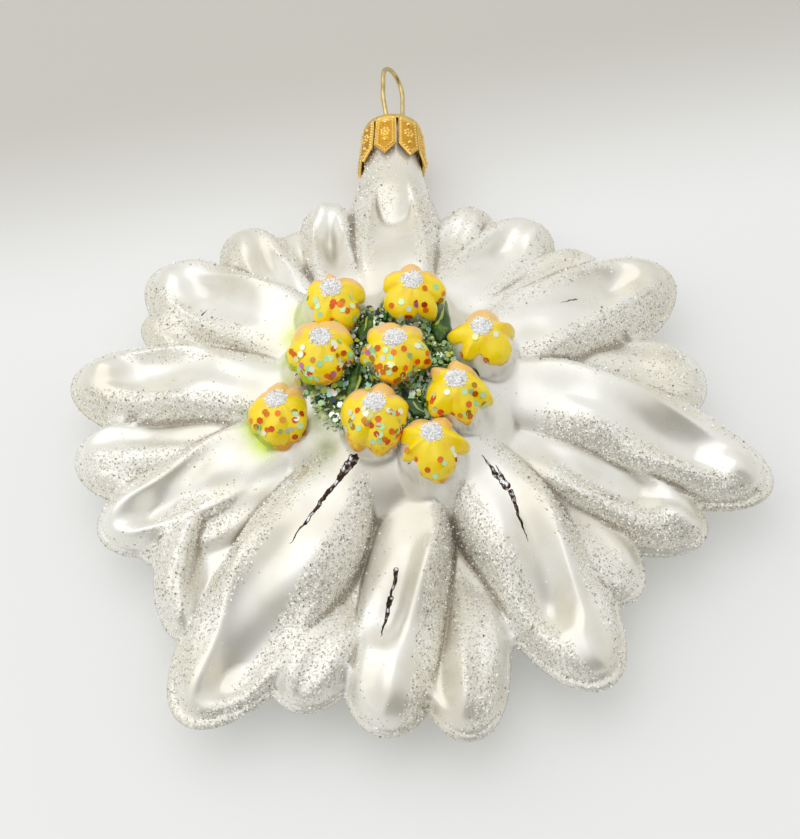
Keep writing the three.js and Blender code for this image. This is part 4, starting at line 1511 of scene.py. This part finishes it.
@dataclass
class Floret:
    """Lobed cap of thick enamel over one knob."""

    number: int
    knob: Knob
    sectors: int = 120
    rings: int = 26
    thickness: float = 0.5
    flare: float = 0.5
    clearance: float = 0.03
    bed: float = 0.15
    lobes: int = 5
    notch: float = 54.0
    lobe: float = 22.0
    ragged_notch: float = 14.0
    ragged_lobe: float = 20.0
    dot_radius: float = 1.3

    def __post_init__(self) -> None:
        """Draws the floret's own unevenness."""
        rng = np.random.default_rng(self.number)
        self.phases = rng.uniform(0, 2 * np.pi, 6)
        self.lengths = rng.uniform(0.6, 1.3, self.lobes)

    def point(self, reach: Array, slope: Array, angle: Array) -> Array:
        """Points at a distance from the knob's middle and a slope down from its top.

        Args:
            reach: distance from the knob's middle.
            slope: degrees down from its top.
            angle: directions round the knob, in radians.

        Returns:
            Points in mm.
        """
        flat = reach * np.sin(np.radians(slope))
        rise = RELIEF.knob_stretch * reach * np.cos(np.radians(slope))
        return np.stack([self.knob.x + flat * np.cos(angle), self.knob.y + flat * np.sin(angle),
                         SEAM + RELIEF.knob_middle(self.knob) + rise], axis=-1)

    def warped(self, angle: Array) -> Array:
        """Direction counted from the first lobe, stretched unevenly round the floret."""
        wander = 0.22 * np.sin(2 * angle + self.phases[0])
        return angle - self.knob.turn + wander + 0.1 * np.sin(3 * angle + self.phases[1])

    def fullness(self, angle: Array) -> Array:
        """1 in the middle of a lobe and 0 in a notch; ragged florets have pointed lobes.

        Args:
            angle: directions round the knob, in radians.

        Returns:
            Shares from 0 to 1.
        """
        wave = np.abs(np.cos(self.lobes * self.warped(angle) / 2))
        rounded = wave**0.6
        pointed = 1 - 2 * np.arccos(np.clip(wave, 0, 1)) / np.pi
        return rounded + (pointed - rounded) * self.knob.ragged

    def edge(self, angle: Array) -> Array:
        """Slope at which the enamel ends in each direction.

        Args:
            angle: directions round the knob, in radians.

        Returns:
            Slopes in degrees from the top.
        """
        outward = math.atan2(self.knob.y - RELIEF.boss_y, self.knob.x)
        facing = np.clip(np.cos(angle - outward) + 0.35, 0, 1) * (math.hypot(self.knob.x, self.knob.y) > 5)
        which = np.round(self.lobes * self.warped(angle) / (2 * np.pi)).astype(int) % self.lobes
        reach = (self.lobe + self.ragged_lobe * self.knob.ragged) * self.lengths[which]
        nibbled = 1.6 * np.sin(11 * angle + self.phases[2]) + 1.2 * np.sin(19 * angle + self.phases[3])
        wanted = self.notch - self.ragged_notch * self.knob.ragged + reach * self.fullness(angle)
        wanted = wanted + self.knob.drape * facing + nibbled
        limit = np.full(len(angle), 100.0)
        surface = np.full(len(angle), RELIEF.knob_radius + self.thickness)
        for slope in np.arange(34.0, 100.0, 1.0)[::-1]:
            outer = self.point(surface, np.full(len(angle), slope), angle)
            ground = SEAM + RELIEF.front(outer[:, 0], outer[:, 1], self.knob)
            limit = np.where(outer[:, 2] < ground + 0.1, slope, limit)
        edge = np.minimum(wanted, limit)
        return (np.roll(edge, 1) + 2 * edge + np.roll(edge, -1)) / 4

    def coat(self, slope: Array, share: float, angle: Array, full: Array) -> Array:
        """Thickness of the enamel: fuller in the lobes, with grooves between them and brush waves.

        Args:
            slope: degrees down from the top.
            share: how far the ring lies towards the edge.
            angle: directions round the knob, in radians.
            full: fullness in each direction.

        Returns:
            Thickness in mm.
        """
        lip = math.sqrt(max(0.0, 1 - share**9))
        thick = self.thickness + self.flare * smooth(slope, 22, 58) * full
        groove = (0.35 + 0.45 * self.knob.ragged) * (1 - full) * smooth(slope, 16, 44)
        coarse, fine = 3 * angle + self.phases[4] + 4 * share, 9 * angle + self.phases[5] + 3 * share
        wave = 0.06 * np.sin(coarse) + 0.05 * np.sin(fine)
        return lip * (thick * (1 - groove) + wave * min(1.0, 3 * share))

    def build(self, material: Material) -> Object:
        """Makes the floret with the attributes for its washes of colour.

        Args:
            material: what it is made of.

        Returns:
            The floret.
        """
        angle = directions(self.sectors)
        edge = self.edge(angle)
        full = self.fullness(angle)
        pole = np.zeros(1)
        bed = RELIEF.knob_radius - self.bed
        points = [self.point(np.array([RELIEF.knob_radius + self.thickness]), pole, pole)]
        slopes = [pole]
        for step in range(1, self.rings + 1):
            share = step / self.rings
            slope = edge * share**0.9
            reach = RELIEF.knob_radius + self.clearance + self.coat(slope, share, angle, full)
            points.append(self.point(reach, slope, angle))
            slopes.append(slope)
        for share in (1.0, 0.7, 0.35):
            points.append(self.point(np.full(self.sectors, bed), edge * share, angle))
            slopes.append(edge * share)
        points.append(self.point(np.array([bed]), pole, pole))
        slopes.append(pole)
        solid = np.vstack(points)
        faces = ring_faces([len(ring) for ring in points])
        piece = make_piece(f"floret_{self.number}", solid, faces, self.washes(solid, np.concatenate(slopes)))
        attach(piece, Slot.YELLOW, material, f"floret_enamel_{self.number}")
        return piece

    def washes(self, points: Array, slope: Array) -> dict[str, Array]:
        """Attributes for the washes of colour, painted sheen and painted shade among them, and for where
        sequins and crystals lie.

        Args:
            points: the floret's points.
            slope: how far down each lies, in degrees.

        Returns:
            A number for each point, by name.
        """
        dx, dy = points[:, 0] - self.knob.x, points[:, 1] - self.knob.y
        reach = RELIEF.knob_radius
        outer = points[:, 2] > SEAM + RELIEF.knob_middle(self.knob) - 1
        away = np.hypot(dx - self.knob.dot[0], dy - self.knob.dot[1])
        near = smooth(-dy / reach, -0.05, 0.25)
        left = smooth((-0.9 * dx - 0.45 * dy) / reach, 0.45, 0.85) * (self.knob.x < -8)
        return {
            # Painted sheen: a peach cast on the far side of every floret. Painted shade: orange low on the
            # near side.
            "far_sheen": smooth(dy / reach, -0.05, 0.75),
            "near_low_shade": smooth(slope, 50, 75) * smooth(-dy / reach, 0.1, 0.7) * 0.57,
            "lime": 0.7 * smooth(slope, 50, 72) * left,
            "dot": 1 - smooth(away, self.dot_radius - 0.25, self.dot_radius + 0.25),
            "sequin": self.knob.sequins * near * smooth(slope, 17, 24) * (1 - smooth(slope, 60, 68)) * outer,
            "crystal": (1 - smooth(away, self.dot_radius, self.dot_radius + 0.35)) * outer * (slope < 40),
            "zone": 0.5 * smooth(slope + 8 * np.sin(5 * dx), 28, 48),
        }


@dataclass(frozen=True)
class LeafShape:
    """One painted leaf in plan: its foot, its point, its half width in mm and how much it is raised."""

    foot: tuple[float, float]
    point: tuple[float, float]
    half: float
    raised: float = 0.55


@dataclass
class Leaf:
    """Thick green enamel leaf that lies over the ground between knobs."""

    number: int
    shape: LeafShape
    across: int = 14
    along: int = 30
    sunk: float = 0.25

    def build(self, material: Material) -> None:
        """Makes the leaf as a closed sheet that follows the relief.

        Args:
            material: what it is made of.
        """
        foot, tip = np.array(self.shape.foot), np.array(self.shape.point)
        axis = tip - foot
        side = np.array([-axis[1], axis[0]]) / np.linalg.norm(axis)
        phase = np.random.default_rng(40 + self.number).uniform(0, 6.28, 3)
        u, v = np.meshgrid(np.linspace(-1, 1, self.across), np.linspace(0, 1, self.along))
        half = self.shape.half * np.sin(np.pi * np.clip(v, 0.02, 0.985) ** 0.75) ** 0.7
        half = half * (1 + 0.12 * np.sin(9 * v + phase[0]) + 0.08 * np.sin(17 * v + phase[1]))
        plan = foot + v[..., None] * axis + (u * half)[..., None] * side
        ground = RELIEF.front(plan[..., 0], plan[..., 1])
        crown = np.sqrt(np.clip(1 - u**4, 0, 1)) * np.sqrt(np.clip(1 - (2 * v - 1) ** 8, 0, 1))
        vein = 0.18 * bell(u, 0.16) + 0.06 * np.cos(14 * v + 3 * np.abs(u) + phase[2])
        top = ground + 0.05 + self.shape.raised * crown * (1 - vein)
        heights = (top, ground - self.sunk)
        points = np.vstack([np.column_stack([plan.reshape(-1, 2), SEAM + z.ravel()]) for z in heights])
        faces = sheet_faces(self.along, self.across)
        dark = 0.35 * np.abs(u) + 0.3 * (1 - v)
        streak = bell(u - 0.3 + 0.25 * np.sin(7 * v + phase[1]), 0.2)
        pale = 0.75 * streak * smooth(v, 0.15, 0.4) * (1 - smooth(v, 0.8, 0.95))
        shades = {name: np.tile(shade.ravel(), 2) for name, shade in (("dark", dark), ("pale", pale))}
        piece = make_piece(f"leaf_{self.number}", points, faces, shades)
        attach(piece, Slot.GREEN, material, f"leaf_enamel_{self.number}")


@dataclass
class FlowerMiddle:
    """The nine florets, the leaves between them, and what is strewn on both."""

    leaves: tuple[LeafShape, ...] = (
        LeafShape((-4.2, 6.6), (-2.9, 11.8), 1.2),
        LeafShape((6.6, 6.6), (7.6, 14.6), 1.35, 0.9),
        LeafShape((4.6, 1.8), (12.2, 1.6), 1.0, 0.7),
        LeafShape((-4.5, 2.6), (-5.6, -3.6), 1.2, 0.6),
        LeafShape((1.4, -3.0), (5.0, -5.4), 1.2, 0.6),
    )

    def build(self, finishes: Finishes, glass: Object) -> None:
        """Makes every piece of the flower's middle.

        Args:
            finishes: the materials.
            glass: the glass flower.
        """
        florets = [Floret(i, knob).build(finishes.yellow) for i, knob in enumerate(KNOBS, 1)]
        for number, shape in enumerate(self.leaves, 1):
            Leaf(number, shape).build(finishes.green)
        hosts = self.joined("floret_hosts", florets)
        disc = {"corners": 6, "top": 1.0, "lying": True}
        sequins = Scatter("sequin", 0.62, 0.46, 11, flat=0.1, spread=0.06, lift=0.03, **disc)
        sequins.strew("sequins", hosts, Slot.SEQUINS, finishes.sequins)
        crystals = Scatter("crystal", 50.0, 0.14, 23, spread=0.4, lift=0.06)
        crystals.strew("crystal_dots", hosts, Slot.CRYSTAL, finishes.crystal)
        bpy.data.objects.remove(hosts)
        coarse = Scatter("coarse", 4.0, 0.26, 31, corners=5, flat=0.4, top=0.8, lift=0.08)
        coarse.strew("coarse_glitter", glass, Slot.CRYSTAL, finishes.coarse)
        flakes = Scatter("coarse", 0.75, 0.42, 47, flat=0.12, spread=0.2, lift=0.3, **disc)
        flakes.strew("valley_sequins", glass, Slot.SEQUINS, finishes.coarse)

    @staticmethod
    def joined(name: str, pieces: Sequence[Object]) -> Object:
        """One carrier mesh with the attributes of several pieces.

        Args:
            name: the mesh's name.
            pieces: the pieces.

        Returns:
            The carrier.
        """
        points, faces, values = [], [], {key: [] for key in ("sequin", "crystal", "zone")}
        start = 0
        for piece in pieces:
            mesh = piece.data
            coordinates = np.zeros(3 * len(mesh.vertices))
            mesh.vertices.foreach_get("co", coordinates)
            points.append(coordinates.reshape(-1, 3) / MM)
            faces += [tuple(corner + start for corner in polygon.vertices) for polygon in mesh.polygons]
            for key, rows in values.items():
                row = np.zeros(len(mesh.vertices))
                mesh.attributes[key].data.foreach_get("value", row)
                rows.append(row)
            start += len(mesh.vertices)
        joined = {key: np.concatenate(rows) for key, rows in values.items()}
        return make_piece(name, np.vstack(points), faces, joined)


# ------------------------------------------------------------------ cap and loop


@dataclass
class StampedCap:
    """Crown cap of thin stamped sheet: a round top and eight pointed tabs with beads, a rosette and two dots.

    Places are distances along Y in mm; `profile` gives the outside radius at some of them.
    """

    top: float = 54.4
    tips: float = 46.0
    shoulder: float = 53.5
    point_start: float = 48.0
    sheet: float = 0.3
    tabs: int = 8
    first: float = 31.4
    slot_half: float = 0.2
    columns: int = 44
    rows: int = 92
    bead_pitch: float = 0.54
    dots: tuple[tuple[float, float], ...] = ((52.3, 0.3), (48.6, 0.28))
    rosette: float = 50.5
    profile: tuple[tuple[float, float], ...] = ((5.4, 46.0), (4.95, 49.8), (4.67, 52.8), (4.55, 53.9))

    def radius(self, y: Array) -> Array:
        """Outside radius of the cap at a distance along Y."""
        return np.interp(y, [p[1] for p in self.profile], [p[0] for p in self.profile])

    def emboss(self, across: Array, y: Array, half: Array) -> Array:
        """Height of the stamped pattern in mm over a tab.

        Args:
            across: distance from the tab's middle line.
            y: distance along the axis.
            half: half the tab's width there.

        Returns:
            Heights in mm.
        """
        slant = self.half_width(self.point_start) / (self.point_start - self.tips)
        inset = half - np.abs(across)
        low = y < self.point_start
        inset = np.where(low, inset * math.cos(math.atan(slant)), inset)
        corner = self.point_start - y
        along = np.where(low, corner * math.hypot(1, slant), -corner)
        beads = np.cos(np.pi * along / self.bead_pitch) ** 2
        height = 0.14 * bell(inset, 0.15) + 0.34 * bell(inset - 0.42, 0.16) * beads
        for middle, size in self.dots:
            off = np.hypot(across, y - middle)
            height = height + 0.26 * bell(off, size, 4) - 0.1 * bell(off - size - 0.14, 0.1)
        off = np.hypot(across, y - self.rosette)
        turn = np.arctan2(y - self.rosette, across)
        rays = 0.26 * bell(off - 0.62, 0.2) * (0.2 + 0.8 * np.cos(3.5 * turn) ** 2)
        return height + rays + 0.24 * bell(off, 0.22)

    def half_width(self, y: Array | float) -> Array:
        """Half the width of a tab, before its point narrows it."""
        return self.radius(np.asarray(y, float)) * math.pi / self.tabs - self.slot_half

    def tab(self) -> Object:
        """One tab about the cap's axis, as a closed sheet, with its middle towards +Z.

        Returns:
            The tab.
        """
        places = np.linspace(self.shoulder + 0.15, self.tips, self.rows)
        u, y = np.meshgrid(np.linspace(-1, 1, self.columns), places)
        narrowing = np.clip((y - self.tips) / (self.point_start - self.tips), 0.03, 1)
        half = self.half_width(y) * np.where(y < self.point_start, narrowing, 1)
        across = u * half
        radius = self.radius(y)
        relief = self.emboss(across, y, half) * smooth(self.shoulder - y, -0.1, 0.4)
        angle = across / radius
        bend = 0.12 * smooth(np.abs(u), 0.4, 1) * smooth(self.shoulder - y, 0, 2)
        sides = [
            np.stack([reach * np.sin(angle), y, reach * np.cos(angle)], -1).reshape(-1, 3)
            for reach in (radius + relief - bend, radius - self.sheet - bend)
        ]
        faces = sheet_faces(self.rows, self.columns)
        # Painted shade: the stamp's low places take the darker ground colour; the raised pattern and the
        # shoulder keep the gilt.
        unshaded = np.maximum(np.clip(relief / 0.2, 0, 1), 0.8 * (1 - smooth(self.shoulder - y, 0.3, 1.2)))
        return make_piece("cap_tab", np.vstack(sides), faces, {"raised": np.tile(unshaded.ravel(), 2)})

    def ring_tree(self, material: Material) -> NodeTree:
        """Geometry Nodes tree that sets tabs round the neck's axis.

        Args:
            material: what the cap is made of.

        Returns:
            The tree.
        """
        first = math.radians(self.first)
        inputs = {"Geometry": ("Geometry", None), "Tabs": ("Int", self.tabs), "First": ("Float", first)}
        graph, given, result = new_group("GeometryNodeTree", "RingOfTabs", inputs, {"Geometry": "Geometry"})
        points = graph.node("GeometryNodePoints", {"Count": given.outputs["Tabs"]})
        index = graph.node("GeometryNodeInputIndex").outputs[0]
        step = graph.math("DIVIDE", 2 * math.pi, given.outputs["Tabs"])
        turn = graph.math("MULTIPLY_ADD", index, step, given.outputs["First"])
        rotation = graph.node("ShaderNodeCombineXYZ", {1: turn}).outputs[0]
        placed = graph.node("GeometryNodeInstanceOnPoints", {
            "Points": points.outputs[0], "Instance": given.outputs["Geometry"], "Rotation": rotation,
        })
        shift = {"Geometry": placed.outputs[0], "Translation": (0, 0, SEAM * MM)}
        graph.coat(graph.node("GeometryNodeTransform", shift).outputs[0], material, result)
        return graph.tree

    def build(self, material: Material) -> None:
        """Makes the ring of tabs and the cap's round top.

        Args:
            material: what it is made of.
        """
        tab = self.tab()
        ring = run_tree("cap_tabs", tab.data, self.ring_tree(material), {"Tabs": self.tabs})
        bpy.data.objects.remove(tab)
        attach(ring, Slot.SHEET, material)
        drops = ((0, 0), (2.9, 0), (3.2, 0), (3.8, 0.02), (4.2, 0.14), (4.45, 0.4), (4.57, 0.8))
        outside = [(radius, self.top - drop) for radius, drop in drops]
        inside = [(4.62, 53.3), (4.32, 53.3), (4.27, 53.65), (4.05, 54.0), (3.6, 54.1), (0, 54.1)]
        points, faces = turned_body([*outside, *inside], 96)
        # The round top carries a fifth of the painted shade all over.
        crown = make_piece("cap_crown", points, faces, {"raised": np.full(len(points), 0.8)})
        attach(crown, Slot.SHEET, material, "metal_cap")


@dataclass
class WireLoop:
    """Springy wire loop with its legs in the neck."""

    radius: float = 0.36
    plane: float = 60.0
    legs: float = 1.95
    half: float = 3.05
    top: float = 66.4
    waist: float = 55.2
    shoulder: float = 59.2
    foot: float = 43.6
    foot_spread: float = 3.5
    foot_end: float = 47.0
    arch_leg: float = 1.6
    sides: int = 16
    steps: int = 220

    def line(self) -> Array:
        """Centre line in the loop's own plane: (aside, distance along Y).

        Returns:
            Points of the line.
        """
        crest = self.top - self.radius
        side = [
            (self.foot_spread, self.foot), (self.legs, self.foot_end),
            (self.legs, (self.foot_end + self.waist) / 2), (self.legs, self.waist),
            (self.half, self.shoulder), (self.half, crest - self.half - self.arch_leg),
        ]
        turns = [math.pi * i / 8 for i in range(9)]
        arc = [(self.half * math.cos(t), crest - self.half * (1 - math.sin(t))) for t in turns]
        return self.through(np.array([*side, *arc, *[(-u, y) for u, y in side[::-1]]]))

    def through(self, knots: Array) -> Array:
        """Smooth line through the knots, with centripetal spacing.

        Args:
            knots: the knots.

        Returns:
            Points of the line.
        """
        ends = np.vstack([2 * knots[0] - knots[1], knots, 2 * knots[-1] - knots[-2]])
        spans = len(knots) - 1
        line = []
        for step in np.linspace(0, spans, self.steps):
            i = min(int(step), spans - 1)
            share = step - i
            p = ends[i : i + 4]
            t = np.concatenate([[0], np.cumsum(np.linalg.norm(np.diff(p, axis=0), axis=1) ** 0.5)])
            at = t[1] + share * (t[2] - t[1])
            a = [((t[k + 1] - at) * p[k] + (at - t[k]) * p[k + 1]) / (t[k + 1] - t[k]) for k in range(3)]
            b = [((t[k + 2] - at) * a[k] + (at - t[k]) * a[k + 1]) / (t[k + 2] - t[k]) for k in range(2)]
            line.append(((t[2] - at) * b[0] + (at - t[1]) * b[1]) / (t[2] - t[1]))
        return np.array(line)

    def build(self, material: Material) -> None:
        """Makes the wire as a closed round tube.

        Args:
            material: what it is made of.
        """
        line = self.line()
        along = np.gradient(line, axis=0)
        along /= np.linalg.norm(along, axis=1, keepdims=True)
        aside = np.column_stack([-along[:, 1], along[:, 0]])
        turn = directions(self.sides)[:, None]
        plane = math.radians(self.plane)
        across = np.array([math.cos(plane), 0, -math.sin(plane)])
        lengthwise = np.array([0, 1, 0])
        normal = np.cross(across, lengthwise)
        rings = []
        for index, (at, out) in enumerate(zip(line, aside)):
            middle = at[0] * across + at[1] * lengthwise + np.array([0, 0, SEAM])
            outward = out[0] * across + out[1] * lengthwise
            ring = middle + self.radius * (np.cos(turn) * outward + np.sin(turn) * normal)
            rings.append(middle[None] if index in (0, len(line) - 1) else ring)
        faces = [face[::-1] for face in ring_faces([len(ring) for ring in rings])]
        attach(make_piece("wire_loop", np.vstack(rings), faces), Slot.WIRE, material, "hanger_wire")


# ------------------------------------------------------------------ studio


@dataclass
class Studio:
    """Pale table, soft lights and the camera; places of lamp and camera are in metres."""

    table_half: float = 3000.0
    table_near: str = "d6d7d6"
    table_far: str = "b4b2ab"
    table_slant: float = 0.2
    table_fade: tuple[float, float] = (33.0, 78.0)
    # painted glow: light the table gives off itself, which lightens the shadows on it
    table_painted_glow: float = 0.28
    walls: str = "eeebe4"
    ceiling: str = "ffffff"
    dark_side: str = "4e4636"
    dark_towards: Point = (0.3, -0.91, 0.29)
    room: Point = (0.6, 1.0, 1.25)
    room_light: float = 0.84
    lamp_place: Point = (-0.22, 0.08, 0.48)
    lamp_size: float = 0.75
    lamp_power: float = 1.2
    camera_place: Point = (0.00114, -0.1336, 0.2426)
    camera_tilt: float = 30.0
    lens: float = 81.1
    sensor: float = 36.0

    def build(self) -> None:
        """Makes the whole setting."""
        self.table()
        self.surroundings()
        self.lamp()
        self.camera()
        bpy.context.scene.view_settings.view_transform = "Standard"

    def table(self) -> None:
        """Pale table that turns greyer away from the camera, with a painted glow that lightens the shadows on
        it.
        """
        corners = np.array([(-1, -1, 0), (1, -1, 0), (1, 1, 0), (-1, 1, 0)]) * self.table_half
        table = make_piece("table", corners, [(0, 1, 2, 3)])
        material, graph, shader = start_material("pale_table")
        place = graph.node("ShaderNodeSeparateXYZ", {0: graph.millimetres()})
        slanted = graph.math("SUBTRACT", place.outputs[1], graph.times(place.outputs[0], self.table_slant))
        colour = graph.mix(graph.fade(slanted, *self.table_fade), self.table_near, self.table_far)
        # Painted glow: the table gives off a little light of its own colour.
        graph.connect(shader, {
            "Base Color": colour, "Roughness": 0.6, "Specular IOR Level": 0.1, "Emission Color": colour,
            "Emission Strength": self.table_painted_glow,
        })
        table.data.materials.append(material)

    def surroundings(self) -> None:
        """Soft room, darker on the camera's side."""
        world = bpy.data.worlds.new("studio")
        bpy.context.scene.world = world
        world.use_nodes = True
        graph = Graph(world.node_tree)
        direction = graph.node("ShaderNodeTexCoord").outputs["Generated"]
        squeezed = graph.vector("NORMALIZE", graph.vector("MULTIPLY", direction, self.room))
        facing = graph.vector("DOT_PRODUCT", squeezed, self.dark_towards)
        height = graph.node("ShaderNodeSeparateXYZ", {0: direction}).outputs[2]
        shade = graph.mix(graph.fade(height, 0.0, 0.7), self.walls, self.ceiling)
        shade = graph.mix(graph.fade(facing, 0.72, 0.93), shade, self.dark_side)
        graph.connect(world.node_tree.nodes["Background"], {0: shade, 1: self.room_light})

    def lamp(self) -> None:
        """One wide square lamp overhead that points at the ornament."""
        data = bpy.data.lights.new("overhead", "AREA")
        data.size = self.lamp_size
        data.energy = self.lamp_power
        downwards = (-Vector(self.lamp_place)).to_track_quat("-Z", "Y").to_euler()
        self.put("overhead", data, self.lamp_place, downwards)

    def camera(self) -> None:
        """Camera that looks down on the flower from its petals' side."""
        data = bpy.data.cameras.new("camera")
        data.lens = self.lens
        data.sensor_width = self.sensor
        tilt = Euler((math.radians(self.camera_tilt), 0, 0))
        bpy.context.scene.camera = self.put("camera", data, self.camera_place, tilt)

    @staticmethod
    def put(name: str, data: ID, place: Point, turn: Euler) -> Object:
        """Adds a lamp or camera to the scene.

        Args:
            name: its name.
            data: the lamp or camera.
            place: where it is, in metres.
            turn: how it is turned.

        Returns:
            Its object.
        """
        thing = bpy.data.objects.new(name, data)
        thing.location = place
        thing.rotation_euler = turn
        bpy.context.scene.collection.objects.link(thing)
        return thing


def main() -> None:
    """Builds the ornament and its setting."""
    logging.basicConfig(level=logging.INFO, format="%(name)s %(message)s")
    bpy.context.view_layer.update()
    finishes = Finishes()
    glass = GlassFlower().build(finishes.pearl)
    FlowerMiddle().build(finishes, glass)
    sugar = Scatter("glitter", 3.4, 0.14, 5, spread=0.45, lift=0.02)
    sugar.strew("sugar_grains", glass, Slot.CRYSTAL, finishes.sugar)
    StampedCap().build(finishes.sheet)
    WireLoop().build(finishes.wire)
    Studio().build()


if __name__ == "__main__":
    main()
